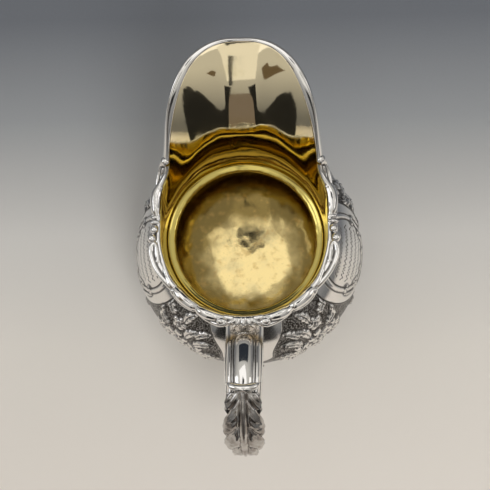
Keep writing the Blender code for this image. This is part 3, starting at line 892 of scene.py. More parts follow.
def tube(line, radii, sides=14):
    """Points and faces of a closed round strand along a line, with rounded ends."""
    line = np.asarray(line, float)
    along = unit(np.gradient(line, axis=0))
    side = unit(np.cross(along, np.roll(along[0], 1) + (0.31, 0.17, 0.23)))
    side = unit(side - np.einsum("ij,ij->i", side, along)[:, None] * along)
    other = np.cross(along, side)
    turns = np.linspace(0, 2 * math.pi, sides, endpoint=False)
    ends = []
    for end, way in ((0, -1), (-1, 1)):
        for share in (0.35, 0.70, 0.92):
            middle = line[end] + way * share * radii[end] * along[end]
            ends.append((middle, radii[end] * math.sqrt(1 - share**2), side[end], other[end]))
    body = list(zip(line, radii, side, other))
    rows = [ends[2], ends[1], ends[0], *body, *ends[3:]]
    rings = [m + r * (np.cos(turns)[:, None] * u + np.sin(turns)[:, None] * v) for m, r, u, v in rows]
    points = np.vstack(rings + [rows[0][0][None], rows[-1][0][None]])
    count = len(rows) * sides
    quads = grid_quads(len(rows), sides, closed_across=True)
    ring = np.arange(sides)
    last = count - sides + ring
    near_tip = np.stack([ring, np.full(sides, count), np.roll(ring, -1)], axis=1)
    far_tip = np.stack([np.roll(last, -1), np.full(sides, count + 1), last], axis=1)
    return points, quads, np.vstack([near_tip, far_tip])


def merged(name, strands, voxel=0.00017, rounds=5):
    """One smooth solid from overlapping strands, each a line with its radii."""
    points = []
    quads = []
    caps = []
    first = 0
    for line, radii in strands:
        part_points, part_quads, part_caps = tube(line, radii)
        points.append(part_points)
        quads.append(part_quads + first)
        caps.extend(part_caps + first)
        first += len(part_points)
    rough = quad_mesh(name, np.vstack(points), np.vstack(quads), caps)
    size = voxel
    return finished_mesh(
        rough,
        ("REMESH", {"mode": "VOXEL", "voxel_size": size}),
        ("SMOOTH", {"factor": 0.5, "iterations": rounds}),
    )


# Each strand is rows of share of the casting, mm out of the sheet, mm up it, and radius.
CASTING_STRANDS = {
    "back_scroll": (
        ((0.02, 1.3, 0.0, 1.00), (0.35, 1.6, 0.2, 1.35), (0.75, 1.8, 0.2, 1.45), (1.0, 1.5, 0.0, 0.95)),
        ((0.90, 2.8, -1.2, 0.5), (0.62, 3.4, -1.3, 0.55), (0.34, 3.7, -0.8, 0.65), (0.08, 3.7, 0.1, 0.80)),
        ((0.08, 3.7, 0.1, 0.8), (-0.05, 3.1, 0.4, 0.85), (-0.02, 2.4, 0.6, 0.90), (0.10, 2.6, 0.6, 0.95)),
    ),
    "rear_scroll": (
        (
            (0.0, 1.4, 0.0, 0.95),
            (0.2, 1.7, 0.15, 1.35),
            (0.6, 1.8, 0.2, 1.50),
            (0.85, 1.6, 0.1, 1.25),
            (1.0, 1.3, 0.0, 0.85),
        ),
        ((0.05, 2.9, -1.3, 0.5), (0.4, 3.5, -1.6, 0.55), (0.75, 3.4, -1.5, 0.55), (0.95, 2.7, -1.0, 0.6)),
        ((0.86, 2.9, -0.2, 0.75), (0.94, 2.6, 0.2, 0.80)),
    ),
    "quarter_scroll": (
        (
            (0.0, 1.5, 0.0, 1.10),
            (0.15, 1.6, 0.1, 1.05),
            (0.34, 1.2, 0.1, 0.75),
            (0.6, 0.8, 0.0, 0.55),
            (1.0, 0.8, 0.0, 0.55),
        ),
        (
            (0.04, 2.3, 0.1, 0.85),
            (0.26, 3.0, 0.2, 0.80),
            (0.50, 3.7, 0.3, 0.75),
            (0.78, 3.9, 0.4, 0.78),
            (0.93, 3.4, 0.5, 0.85),
        ),
        (
            (0.93, 3.4, 0.5, 0.85),
            (0.98, 2.4, 0.5, 0.70),
            (0.88, 1.7, 0.4, 0.60),
            (0.72, 1.9, 0.2, 0.65),
            (0.62, 2.3, 0.0, 0.90),
        ),
        ((0.08, 1.7, -0.5, 0.80), (0.35, 2.0, -0.6, 1.05), (0.62, 2.3, -0.7, 1.20), (0.92, 2.2, -0.5, 1.05)),
    ),
    "bead_cluster": (
        ((0.0, 1.0, -0.2, 0.75), (0.5, 0.9, -0.4, 0.65), (1.0, 1.1, -0.2, 0.8)),
        ((0.12, 2.9, 0.3, 1.20), (0.16, 3.0, 0.3, 1.20)),
        ((0.44, 2.2, 0.2, 1.10), (0.47, 2.2, 0.2, 1.10)),
        ((0.72, 0.9, 0.2, 0.5), (0.73, 2.2, 0.3, 0.55), (0.72, 3.3, -0.1, 0.5)),
        ((0.90, 0.9, 0.2, 0.5), (0.91, 2.2, 0.3, 0.55), (0.89, 3.1, -0.1, 0.5)),
        ((0.02, 2.6, -1.7, 0.8), (0.5, 2.6, -1.9, 0.90), (0.98, 2.4, -1.6, 0.8)),
    ),
    "fore_scroll": (
        ((0.0, 1.5, -0.1, 0.95), (0.25, 1.8, 0.1, 1.35), (0.7, 1.9, 0.15, 1.50), (1.0, 1.6, 0.0, 1.15)),
        ((0.0, 3.0, -1.3, 0.5), (0.5, 3.5, -1.5, 0.55), (1.0, 2.8, -1.2, 0.5)),
    ),
    "front_scroll": (
        ((0.0, 1.6, 0.0, 1.10), (0.22, 1.3, 0.1, 0.75), (0.6, 0.8, 0.0, 0.55), (1.0, 1.0, 0.0, 0.80)),
        (
            (0.02, 2.5, 0.0, 0.7),
            (0.25, 3.2, 0.2, 0.60),
            (0.55, 3.5, 0.3, 0.60),
            (0.82, 3.0, 0.3, 0.7),
            (1.0, 2.0, 0.3, 0.95),
        ),
        ((0.24, 2.0, 0.1, 0.45), (0.45, 2.3, 0.2, 0.45), (0.66, 2.2, 0.3, 0.5)),
        ((0.08, 1.8, -0.6, 0.80), (0.5, 1.9, -0.9, 1.05), (0.9, 1.7, -0.6, 0.90)),
        ((0.97, 1.5, 0.2, 1.25), (1.0, 1.6, 0.2, 1.25)),
    ),
}
CASTING_REACH = 1.10
CASTING_FATNESS = 1.45
THINNEST_STRAND = 0.32


def rim_strand(places, start, end, side):
    """A strand of a casting, laid along the rim on one side."""
    line = smooth_line(places, 44)
    turn = turn_of(side * (start + (end - start) * line[:, 0]))
    edge, upward, outward = rim_frame(turn)
    out = CASTING_REACH * line[:, 1:2]
    points = edge + MM * out * outward + MM * line[:, 2:3] * upward
    return points, CASTING_FATNESS * np.maximum(line[:, 3], THINNEST_STRAND) * MM


def hanging_rail(waves):
    """Rows of the rail along a casting's lower edge, which dips where the lobes hang from it."""
    places = np.linspace(0.04, 0.96, 4 * waves + 1)
    return [(t, 1.9, -1.6 - 0.35 * math.sin(math.pi * waves * t) ** 2, 0.85) for t in places]


def hanging_lobe(middle, reach):
    return (middle - reach, 2.0, -2.3, 0.5), (middle, 1.9, -3.3, 0.62), (middle + reach, 2.0, -2.3, 0.5)


def build_casting(label, side):
    """One of the castings that CASTING_STRANDS describes, with its rail and lobes outside the sheet."""
    start, end = CASTING_SHARES[label]
    waves = 3 if label == "quarter_scroll" else 2
    lobes = [hanging_lobe((k + 0.5) / waves, 0.3 / waves) for k in range(waves)]
    rows = [*CASTING_STRANDS[label], hanging_rail(waves), *lobes]
    return merged(f"casting_{label}", [rim_strand(places, start, end, side) for places in rows])


def build_back_leaf():
    """Shell of five lobes where the handle meets the rim."""
    strands = [
        rim_strand(((-1, 0.95, 0.0, 0.85), (0, 0.95, 0.1, 0.95), (1, 0.95, 0.0, 0.85)), 0, 0.050, 1),
        rim_strand(((-0.9, 1.9, -1.8, 0.8), (0, 2.0, -2.2, 0.90), (0.9, 1.9, -1.8, 0.8)), 0, 0.048, 1),
    ]
    for k in (-2, -1, 0, 1, 2):
        fan = 0.20 * k
        root = (1.1 * fan, 1.3, 0.35, 0.95)
        middle = (1.7 * fan, 2.5, 0.1, 0.95 - 0.1 * abs(k))
        tip = (2.3 * fan, 3.5, -1.3, 0.55)
        strands.append(rim_strand((root, middle, tip), 0, 0.050, 1))
    return merged("casting_back_leaf", strands)


# ---------------------------------------------------------------- handle


RIB_HALF_WIDTH = 3.55
RIB_START = 7.5
SIDE_RIB_PLACE = 5.55
SIDE_RIB_HALF_WIDTH = 0.95
SIDE_RIB_START = 10.0
SIDE_FILLET_FROM = 5.2
COLLAR_SHARE = 0.262


def rib_lift(across, along):
    """Height in mm of the three ribs and their fillets, at a share of the half width and mm from the root."""
    x = np.abs(across) * HANDLE_HALF_WIDTH
    inside = RIB_HALF_WIDTH - np.hypot(x, np.clip(RIB_START + RIB_HALF_WIDTH - along, 0, None))
    dome = np.sqrt(np.clip(1 - (1 - np.clip(inside / RIB_HALF_WIDTH, 0, 1)) ** 2, 0, 1))
    lift = np.where(inside > 0, 0.25 + 0.95 * dome, 0.0)
    lift = np.maximum(lift, 0.62 * bump(inside, -0.50, 0.26))
    before = np.clip(SIDE_RIB_START + SIDE_RIB_HALF_WIDTH - along, 0, None)
    gap = np.hypot(x - SIDE_RIB_PLACE, before)
    lift = np.maximum(lift, 0.80 * np.sqrt(np.clip(1 - (gap / SIDE_RIB_HALF_WIDTH) ** 2, 0, 1)))
    fillet = bump(SIDE_RIB_HALF_WIDTH - gap, -0.42, 0.22)
    return np.maximum(lift, 0.50 * fillet * (x > SIDE_FILLET_FROM))


def build_handle():
    """Scroll arm with a broad middle rib, two side ribs and fillets round their ends."""
    rows, columns = 420, 132
    around = np.linspace(0, 2 * math.pi, columns, endpoint=False)
    place, angle = np.meshgrid(np.linspace(0, 1, rows), around, indexing="ij")
    along = place * HANDLE_LENGTH
    width, depth = handle_size(place)
    outer = smooth_step(np.sin(angle) / 0.25)
    drop = 1.1 * outer * MM
    across = (width - 0.2 * drop) * np.cos(angle)
    rise = (depth - drop) * np.sin(angle) + MM * rib_lift(np.cos(angle), along) * outer
    centre, outward = handle_frame(place)
    zero = np.zeros_like(rise)
    points = centre + np.stack([across, zero, zero], axis=-1) + rise[..., None] * outward
    points[:, :, 2] += 0.05 * MM * value_noise(points, 0.006, 31)
    mesh = capped_mesh("handle_arm", points)
    # Mask for golden-brown colour on the top of the arm where the ribs end.
    rib_end_brown = bump(along, RIB_START + 1.5, 2.4) * smooth_step(np.sin(angle) / 0.3)
    paint(mesh, "rib_end_brown", rib_end_brown.ravel())
    return mesh


def build_collar():
    """A bead saddled across the middle rib, thinning towards its two ends."""
    rows, columns = 70, 24
    centre, outward = handle_frame(np.array(COLLAR_SHARE))
    along = np.array((0.0, -outward[2], outward[1]))
    place = np.linspace(-1, 1, rows)
    angle = math.pi / 2 + math.radians(52) * place
    middle = wrapped_point(np.full(rows, COLLAR_SHARE), angle, 0.9 * MM)
    middle = middle - (1.6 * MM * place**2)[:, None] * along
    lifted = unit(middle - centre)
    radius = 1.25 * MM * np.clip(1 - np.abs(place) ** 5, 0.25, 1)
    turns = np.linspace(0, 2 * math.pi, columns, endpoint=False)[:, None]
    ring = np.cos(turns) * lifted[:, None] + 1.2 * np.sin(turns) * along
    return capped_mesh("handle_collar_bead", middle[:, None] + radius[:, None, None] * ring)


def acanthus_lift(place, across):
    """Height in mm of the leaf's ribs, lobes and curled edges."""
    size = np.abs(across)
    phase = 4.2 * (place - 0.20 * size)
    lobe = np.abs(np.sin(math.pi * phase))
    folds = 0.5 + 0.5 * np.cos(2 * math.pi * (3 * phase - 0.4))
    lift = 0.25 + 0.75 * lobe**0.6 * smooth_step(size / 0.35) + 0.22 * folds * smooth_step((size - 0.1) / 0.3)
    lift += 0.95 * bump(across, 0, 0.12) - 0.35 * bump(size, 0.20, 0.06)
    curled = 0.40 * lobe * smooth_step((size - 0.62) / 0.38)
    tier = 0.5 * bump(place, 0.43, 0.10) * smooth_step((size - 0.45) / 0.5)
    return lift + curled + tier


LEAF_START = 0.276
LEAF_END = 0.645


def build_leaf_cap():
    """Acanthus leaf over the turn of the handle, four pairs of lobes with serrated edges."""
    rows, columns = 230, 110
    place, across = np.meshgrid(np.linspace(0, 1, rows), np.linspace(-1, 1, columns), indexing="ij")
    blade = 68 * (1 - 0.80 * smooth_step((place - 0.46) / 0.54)) * (0.72 + 0.28 * smooth_step(place / 0.25))
    edge_phase = 4.2 * (place - 0.20)
    lobes = 1 - 0.15 * (1 - np.abs(np.sin(math.pi * edge_phase))) ** 1.5
    teeth = 1 - 0.045 * np.abs(np.sin(4 * math.pi * edge_phase))
    span = np.radians(blade * lobes * teeth)
    share = LEAF_START + (LEAF_END - LEAF_START) * place
    lift = MM * (acanthus_lift(place, across) + 0.1)
    return plate_mesh("leaf_cap", wrapped_point(share, math.pi / 2 + span * across, lift), 0.0006)


ROOT_LEAF_Z = (0.0275, 0.0560)
ROOT_LEAF_MIDDLE_Z = 0.0420


def build_root_leaf():
    """Veined leaf plate on the bowl at the handle's lower end."""
    rows, columns = 120, 70
    levels = np.linspace(ROOT_LEAF_Z[0], ROOT_LEAF_Z[1], rows)
    level, across = np.meshgrid(levels, np.linspace(-1, 1, columns), indexing="ij")
    reach = (level - ROOT_LEAF_MIDDLE_Z) / 0.0150
    size = np.abs(across)
    veins = np.abs(np.sin(math.pi * 5 * (np.abs(reach) + 0.22 * size)))
    lobes = 1 - 0.22 * (1 - veins)
    span = np.radians(7.4) * np.clip(1 - np.abs(reach) ** 2.2, 0.06, 1) * lobes
    lift = 0.5 + 0.45 * bump(across, 0, 0.12) + 0.35 * veins * smooth_step(size / 0.3)
    radius = belly_radius(level) + MM * (lift + 0.4 * size**3)
    return plate_mesh("root_leaf", on_circle(radius, -math.pi / 2 + span * across, level), 0.0007)


# ---------------------------------------------------------------- feet


# Rows of mm out from the bowl's axis, sideways and up, and the radius.
FOOT_STRANDS = (
    ((36.5, 0, 21.5, 3.2), (40.0, 0, 18.4, 3.0), (41.6, 0, 14.6, 2.4), (41.0, 0, 10.4, 2.0)),
    ((41.0, 0, 10.4, 2.0), (39.0, 0, 6.6, 1.9), (38.3, 0, 3.9, 2.1), (39.5, 0, 2.2, 2.2)),
    ((39.5, 0, 2.2, 2.2), (41.6, 0, 1.9, 1.9), (43.3, 0, 3.0, 1.5), (43.4, 0, 4.8, 1.2), (42.0, 0, 5.2, 1.1)),
    ((36.8, 0, 1.8, 1.8), (39.6, 0, 1.6, 1.6)),
)
FOOT_SIDE_STRANDS = (
    ((41.8, 1.9, 16.5, 0.7), (42.9, 1.6, 12.6, 0.6), (41.2, 1.4, 8.4, 0.6)),
    ((42.2, 1.0, 5.0, 1.0), (42.2, 2.1, 5.0, 0.8)),
)
FOOT_SEAT_ANGLE = math.radians(46)


def foot_strand(places, side=1):
    """A strand of the foot that stands on the +X side."""
    line = smooth_line([(out, side * sideways, up, thick) for out, sideways, up, thick in places], 44)
    return line[:, :3] * MM, np.maximum(line[:, 3], 0.35) * MM


def foot_lobe(fan):
    """One lobe of the leaf that spreads on the bowl above the foot."""
    places = []
    for share in np.linspace(0, 1, 6):
        radius, level = belly_point(-FOOT_SEAT_ANGLE - 0.12 + share * (0.62 - 0.10 * abs(fan)))
        turn = math.radians(5.2 * fan) * (0.25 + 0.75 * share**0.8)
        out = radius / MM + 0.35 + 0.9 * share**6
        places.append((out * math.cos(turn), out * math.sin(turn), level / MM - 0.2, 1.5 - 0.75 * share))
    return foot_strand(places)


def build_foot():
    """Scroll foot: leaf lobes spread on the bowl, a bowed leg and a curled toe on a round pad."""
    strands = [foot_strand(places) for places in FOOT_STRANDS]
    for side in (-1, 1):
        strands += [foot_strand(places, side) for places in FOOT_SIDE_STRANDS]
    strands += [foot_lobe(fan) for fan in (-2, -1, 0, 1, 2)]
    mesh = merged("foot", strands, voxel=0.00024, rounds=4)
    points = vectors_in(mesh.vertices, "co")
    points[:, 2] = np.maximum(points[:, 2], 0.0)
    wall = belly_radius(points[:, 2], below=0.0) - 0.0003
    reach = np.hypot(points[:, 0], points[:, 1])
    points[:, :2] *= (np.maximum(reach, wall) / reach)[:, None]
    move_points(mesh, points)
    return mesh


def turned_copy(mesh, name, angle):
    """A copy of a mesh turned about the bowl's axis."""
    copy = mesh.copy()
    copy.name = name
    x, y, z = vectors_in(mesh.vertices, "co").T
    across = x * math.cos(angle) - y * math.sin(angle)
    ahead = x * math.sin(angle) + y * math.cos(angle)
    move_points(copy, np.stack([across, ahead, z], axis=1))
    return copy


# ---------------------------------------------------------------- materials


class Metal:
    """A Principled metal and short ways to add nodes to it."""

    def __init__(self, name):
        self.material = bpy.data.materials.new(name)
        self.material.use_nodes = True
        self.tree = self.material.node_tree
        self.shader = self.tree.nodes["Principled BSDF"]
        self.shader.inputs["Metallic"].default_value = 1.0
        self.place = self.add("ShaderNodeTexCoord").outputs["Object"]

    def add(self, kind, inputs=(), **settings):
        node = self.tree.nodes.new(kind)
        for key, value in settings.items():
            setattr(node, key, value)
        for key, value in dict(inputs).items():
            self.feed(node.inputs[key], value)
        return node

    def feed(self, socket, value):
        if isinstance(value, bpy.types.NodeSocket):
            self.tree.links.new(value, socket)
        else:
            socket.default_value = value

    def maths(self, operation, *values, clamp=False):
        return self.add("ShaderNodeMath", enumerate(values), operation=operation, use_clamp=clamp).outputs[0]

    def field(self, name):
        return self.add("ShaderNodeAttribute", attribute_name=name).outputs["Fac"]

    def noise(self, size, detail=2.0, stretch=(1, 1, 1), shift=0.0):
        moved = {"Vector": self.place, "Location": (shift, shift, shift), "Scale": stretch}
        scaled = self.add("ShaderNodeMapping", moved).outputs[0]
        settings = {"Vector": scaled, "Scale": 1 / size, "Detail": detail}
        return self.add("ShaderNodeTexNoise", settings).outputs["Fac"]

    def spread(self, value, low, high, start=0.0, end=1.0):
        """The value moved smoothly from one range to another."""
        node = self.add("ShaderNodeMapRange", interpolation_type="SMOOTHSTEP")
        for socket, given in zip(node.inputs, (value, low, high, start, end)):
            self.feed(socket, given)
        return node.outputs[0]

    def blend(self, share, first, second):
        node = self.add("ShaderNodeMix", data_type="RGBA")
        self.feed(node.inputs[0], share)
        self.feed(node.inputs[6], first)
        self.feed(node.inputs[7], second)
        return node.outputs[2]

    def line(self, value, middle, width):
        """One on a line where the value meets the middle, fading to nothing at its width."""
        gap = self.maths("ABSOLUTE", self.maths("SUBTRACT", value, middle))
        return self.spread(gap, width, 0.25 * width)

    def most(self, *values):
        return functools.reduce(lambda one, other: self.maths("MAXIMUM", one, other), values)

    def total(self, *values):
        return functools.reduce(lambda one, other: self.maths("ADD", one, other), values)

    def scaled(self, value, by):
        return self.maths("MULTIPLY", value, by)

    def finish(self, colour, roughness, height=None, depth=0.0001, strength=1.0):
        self.feed(self.shader.inputs["Base Color"], colour)
        self.feed(self.shader.inputs["Roughness"], roughness)
        if height is not None:
            raised = self.add("ShaderNodeBump", {"Height": height, "Distance": depth, "Strength": strength})
            self.feed(self.shader.inputs["Normal"], raised.outputs[0])
        return self.material


SILVER = (0.930, 0.915, 0.890, 1)
WARM_SILVER = (0.880, 0.855, 0.825, 1)
OXIDE = (0.055, 0.048, 0.042, 1)
GROUND_TARNISH = (0.060, 0.052, 0.046, 1)
LEAF_TARNISH = (0.120, 0.086, 0.064, 1)
DEEP_GOLD = (0.850, 0.690, 0.210, 1)
CLEAN_GOLD = (0.900, 0.715, 0.330, 1)
GREEN_GOLD = (0.780, 0.640, 0.320, 1)
PALE_GOLD = (0.940, 0.820, 0.560, 1)
# Dark olive gold for the painted shade on the walls inside the bowl.
PAINTED_SHADE_GOLD = (0.250, 0.175, 0.048, 1)
STAIN = (0.560, 0.370, 0.130, 1)
# Golden-brown for the top of the handle where its ribs end.
RIB_END_BROWN = (0.420, 0.300, 0.130, 1)


def wipe_marks(metal):
    """Fine rubbing marks that run two ways round the piece."""
    first = metal.noise(0.0011, 4, (1, 1, 0.06), 0.3)
    second = metal.noise(0.0009, 4, (0.08, 1, 1), 0.7)
    return metal.most(first, second)


def polished_silver():
    """Plain polished sheet and wire with faint rubbing marks."""
    metal = Metal("polished_silver")
    haze = metal.noise(0.012, 3)
    marks = wipe_marks(metal)
    colour = metal.blend(haze, SILVER, WARM_SILVER)
    rough = metal.total(metal.spread(haze, 0.3, 0.75, 0.055, 0.12), metal.scaled(marks, 0.03))
    return metal.finish(colour, rough, marks, 0.00001, 0.25)


def cast_silver(name, roughest, brown_rib_ends=False):
    """Burnished casting with tarnish left in its hollows, and golden-brown colour where a mask for it is
    painted.
    """
    metal = Metal(name)
    haze = metal.noise(0.006, 3)
    speck = metal.noise(0.0008, 3, shift=0.4)
    colour = metal.blend(haze, SILVER, WARM_SILVER)
    if brown_rib_ends:
        brown_share = metal.scaled(metal.field("rib_end_brown"), metal.spread(haze, 0.30, 0.55, 0.35, 0.95))
        colour = metal.blend(brown_share, colour, RIB_END_BROWN)
    tarnish = metal.scaled(metal.field("hollow"), metal.spread(speck, 0.2, 0.7, 0.75, 1.0))
    colour = metal.blend(tarnish, colour, OXIDE)
    rough = metal.total(metal.spread(haze, 0.3, 0.75, 0.06, roughest), metal.scaled(tarnish, 0.3))
    return metal.finish(colour, rough, speck, 0.00002, 0.2)


def leaf_silver():
    """Chased leaves with tarnish between the veins."""
    metal = Metal("leaf_silver")
    haze = metal.noise(0.004, 4)
    speck = metal.noise(0.0007, 3, shift=0.4)
    tarnish = metal.most(metal.field("hollow"), metal.spread(haze, 0.35, 0.70, 0.40, 0.78))
    colour = metal.blend(tarnish, SILVER, LEAF_TARNISH)
    rough = metal.total(metal.spread(haze, 0.3, 0.75, 0.08, 0.16), metal.scaled(tarnish, 0.10))
    return metal.finish(colour, rough, speck, 0.00005, 0.5)


ROW_HEIGHT = 3.6
PUNCH_SIZE = 0.00062


def engraving(metal, ring):
    """Rows of generic looped ornament inside the cartouche: nought away from the cuts, one on them."""
    across = metal.field("across")
    rows = metal.scaled(metal.field("up"), 1 / ROW_HEIGHT)
    sway = metal.maths("SINE", metal.scaled(across, 0.9))
    loops = metal.maths("SINE", metal.total(metal.scaled(across, 4.1), metal.scaled(sway, 1.8)))
    small = metal.maths("SINE", metal.scaled(across, 9.3))
    level = metal.total(rows, metal.scaled(loops, 0.17), metal.scaled(small, 0.06))
    gap = metal.maths("ABSOLUTE", metal.maths("SUBTRACT", metal.maths("FRACT", level), 0.5))
    cut = metal.spread(gap, 0.115, 0.045)
    return metal.scaled(cut, metal.spread(ring, -2.2, -2.8))


def chased_silver():
    """Raised silver with matted grounds, engraved lines and tarnish in every hollow."""
    metal = Metal("chased_silver")
    haze = metal.noise(0.012, 3)
    ground = metal.field("ground")
    edge = metal.field("edge")
    ring = metal.field("ring")
    punched = {"Vector": metal.place, "Scale": 1 / PUNCH_SIZE, "Randomness": 0.9}
    punches = metal.add("ShaderNodeTexVoronoi", punched)
    dots = metal.spread(punches.outputs["Distance"], 0.25, 0.62)
    lines = metal.most(
        metal.line(edge, 0.15, 0.38),
        metal.scaled(metal.line(edge, 1.55, 0.30), 0.8),
        metal.line(ring, -0.15, 0.40),
        metal.scaled(metal.line(ring, 2.45, 0.36), 0.9),
        metal.line(ring, 7.25, 0.40),
    )
    cuts = engraving(metal, ring)
    matt = metal.scaled(ground, metal.spread(dots, 0, 1, 0.50, 1.0))
    hollows = metal.scaled(metal.field("hollow"), 0.9)
    tarnish = metal.most(matt, hollows, metal.scaled(lines, 0.95), metal.scaled(cuts, 0.95))
    tarnish = metal.maths("MINIMUM", tarnish, 1.0)
    colour = metal.blend(tarnish, metal.blend(haze, SILVER, WARM_SILVER), GROUND_TARNISH)
    rough = metal.total(metal.spread(haze, 0.3, 0.75, 0.11, 0.19), metal.scaled(tarnish, 0.20))
    pits = metal.scaled(metal.scaled(dots, ground), -1.0)
    sunk = metal.total(pits, metal.scaled(lines, -0.8), metal.scaled(cuts, -0.5))
    return metal.finish(colour, rough, sunk, 0.00012, 0.8)


def bowl_gilding():
    """Satin gilding, stained, and greener where it is thin; above the bottom its walls carry painted shade in
    dark olive gold.
    """
    metal = Metal("bowl_gilding")
    cloud = metal.noise(0.010, 5)
    patch = metal.noise(0.0035, 4, shift=0.6)
    speck = metal.noise(0.0009, 3, shift=0.2)
    level = metal.add("ShaderNodeSeparateXYZ", {"Vector": metal.place}).outputs["Z"]
    # Painted shade: from a little above the bottom, the walls turn dark olive gold.
    painted_shade_level = metal.total(level, metal.scaled(metal.maths("SUBTRACT", cloud, 0.5), 0.005))
    colour = metal.blend(metal.spread(cloud, 0.40, 0.66), CLEAN_GOLD, GREEN_GOLD)
    colour = metal.blend(metal.spread(painted_shade_level, 0.0150, 0.0178, 0.0, 0.90), colour, PAINTED_SHADE_GOLD)
    colour = metal.blend(metal.spread(level, 0.0230, 0.0400, 0.0, 0.8), colour, DEEP_GOLD)
    colour = metal.blend(metal.scaled(metal.spread(patch, 0.52, 0.74), 0.55), colour, STAIN)
    colour = metal.blend(metal.scaled(metal.spread(speck, 0.62, 0.74), 0.45), colour, STAIN)
    rough = metal.total(metal.spread(cloud, 0.35, 0.7, 0.09, 0.16), metal.spread(patch, 0.4, 0.8, 0.0, 0.06))
    height = metal.total(patch, metal.scaled(speck, 0.25))
    return metal.finish(colour, rough, height, 0.00008, 0.5)


def spout_gilding():
    """Mirror gilding, deep in colour low down and paler towards the lip."""
    metal = Metal("spout_gilding")
    haze = metal.noise(0.007, 4)
    level = metal.add("ShaderNodeSeparateXYZ", {"Vector": metal.place}).outputs["Z"]
    pale = metal.spread(level, 0.090, 0.108)
    colour = metal.blend(pale, DEEP_GOLD, PALE_GOLD)
    colour = metal.blend(metal.spread(haze, 0.55, 0.8, 0.0, 0.25), colour, GREEN_GOLD)
    by_ledge = metal.scaled(metal.spread(level, 0.0800, 0.0770), 0.10)
    rough = metal.total(metal.spread(haze, 0.3, 0.75, 0.045, 0.085), by_ledge)
    return metal.finish(colour, rough, metal.noise(0.0045, 2, shift=0.5), 0.00006, 0.35)


# ---------------------------------------------------------------- the jug


def add_rim_castings(cast):
    """The back leaf, and six castings on each side."""
    back_leaf = build_back_leaf()
    paint_hollows(back_leaf, 40, 0.60)
    add_piece("casting_back_leaf", back_leaf, cast, ["rim_back_leaf"])
    for name, side in (("left", -1), ("right", 1)):
        for label in CASTING_SHARES:
            mesh = build_casting(label, side)
            paint_hollows(mesh, 50, 0.55)
            add_piece(f"casting_{name}_{label}", mesh, cast, [f"rim_{name}_{label}"])


def add_handle(cast):
    """The reeded arm, its bead and its two leaves."""
    handle = build_handle()
    paint_hollows(handle, 6, 1.2)
    reeded = cast_silver("handle_silver", 0.13, brown_rib_ends=True)
    add_piece("handle_arm", handle, reeded, ["handle_left_half", "handle_right_half"])
    collar = build_collar()
    paint_hollows(collar, 2, 1.0)
    add_piece("handle_collar_bead", collar, cast, ["handle_collar"])
    leafy = leaf_silver()
    for name, mesh, node in (
        ("leaf_cap", build_leaf_cap(), "handle_leaf_cap"),
        ("root_leaf", build_root_leaf(), "handle_root_leaf"),
    ):
        paint_hollows(mesh, 8, 1.3)
        add_piece(name, mesh, leafy, [node])


def add_feet(cast):
    """Four feet from one mesh, the first between +X and the spout."""
    foot = build_foot()
    for label, quarter in (("front_right", 45), ("front_left", 135), ("back_left", 225), ("back_right", 315)):
        mesh = turned_copy(foot, f"foot_{label}", math.radians(quarter))
        paint_hollows(mesh, 8, 1.0)
        add_piece(f"scroll_foot_{label}", mesh, cast, [f"foot_{label}"])


def build_jug():
    """Every piece of the jug, each in place of the CAD node that it stands for."""
    plain = polished_silver()
    cast = cast_silver("cast_silver", 0.14)
    add_piece("bowl_silver", build_bowl_silver(), chased_silver(), ["body_bowl"])
    add_piece("bowl_gilding", build_bowl_gilding(), bowl_gilding())
    add_piece("neck_silver", build_neck_silver(), plain, ["neck_and_spout"])
    add_piece("neck_gilding", build_neck_gilding(), spout_gilding())
    add_piece("spout_lip", build_lip(), plain, ["spout_lip_wire"])
    add_piece("neck_moulding", build_neck_moulding(), plain, ["neck_joint_wire"])
    add_rim_castings(cast)
    add_handle(cast)
    add_feet(cast)


# ---------------------------------------------------------------- stage


# Name, turn from the handle and rise above level as seen from the spout, width and height, all in degrees,
# then strength, colour, distance in metres and lean in degrees.
FAR_CARDS = (
    ("left_softbox", -80, 36, 20, 34, 1.5, (0.95, 0.97, 1.0, 1), 1.1, 0),
    ("right_softbox", 82, 30, 15, 28, 1.3, (1.0, 0.97, 0.94, 1), 1.1, 0),
    ("cream_panel", -6, 60, 22, 40, 0.80, (1.0, 0.97, 0.90, 1), 1.1, 0),
    ("dark_panel_behind", 180, 40, 62, 26, 0.03, (0.6, 0.75, 1.0, 1), 1.2, 0),
    ("dark_stand_left", 10, 12, 13, 46, 0.01, (1, 1, 1, 1), 0.5, -4),
    ("dark_stand_right", -15, 12, 12, 46, 0.01, (1, 1, 1, 1), 0.5, 6),
    ("dark_rod", 1, 50, 3.5, 30, 0.05, (1, 1, 1, 1), 0.9, -3),
    ("grey_stand", -3, 8, 26, 40, 0.17, (1.0, 0.82, 0.70, 1), 0.95, 0),
    ("brown_panel_left", 48, 34, 9, 30, 0.12, (1.0, 0.72, 0.42, 1), 0.9, -12),
    ("brown_panel_right", -50, 34, 11, 34, 0.12, (1.0, 0.72, 0.42, 1), 0.9, 14),
)
FAR_CARD_AIM = (0.0, 0.050, 0.110)
JUG_MIDDLE = (0, 0.01, 0)
SHADOWLESS = 0.5
# Length over which the floor's painted shade runs from near to far.
FLOOR_SHADE_SPAN = 0.30


def emitter(name, strength, colour):
    """A black surface that glows, for a card."""
    material = bpy.data.materials.new(name)
    material.use_nodes = True
    shader = material.node_tree.nodes["Principled BSDF"]
    shader.inputs["Base Color"].default_value = (0, 0, 0, 1)
    shader.inputs["Roughness"].default_value = 1.0
    shader.inputs["Emission Color"].default_value = colour
    shader.inputs["Emission Strength"].default_value = strength
    return material


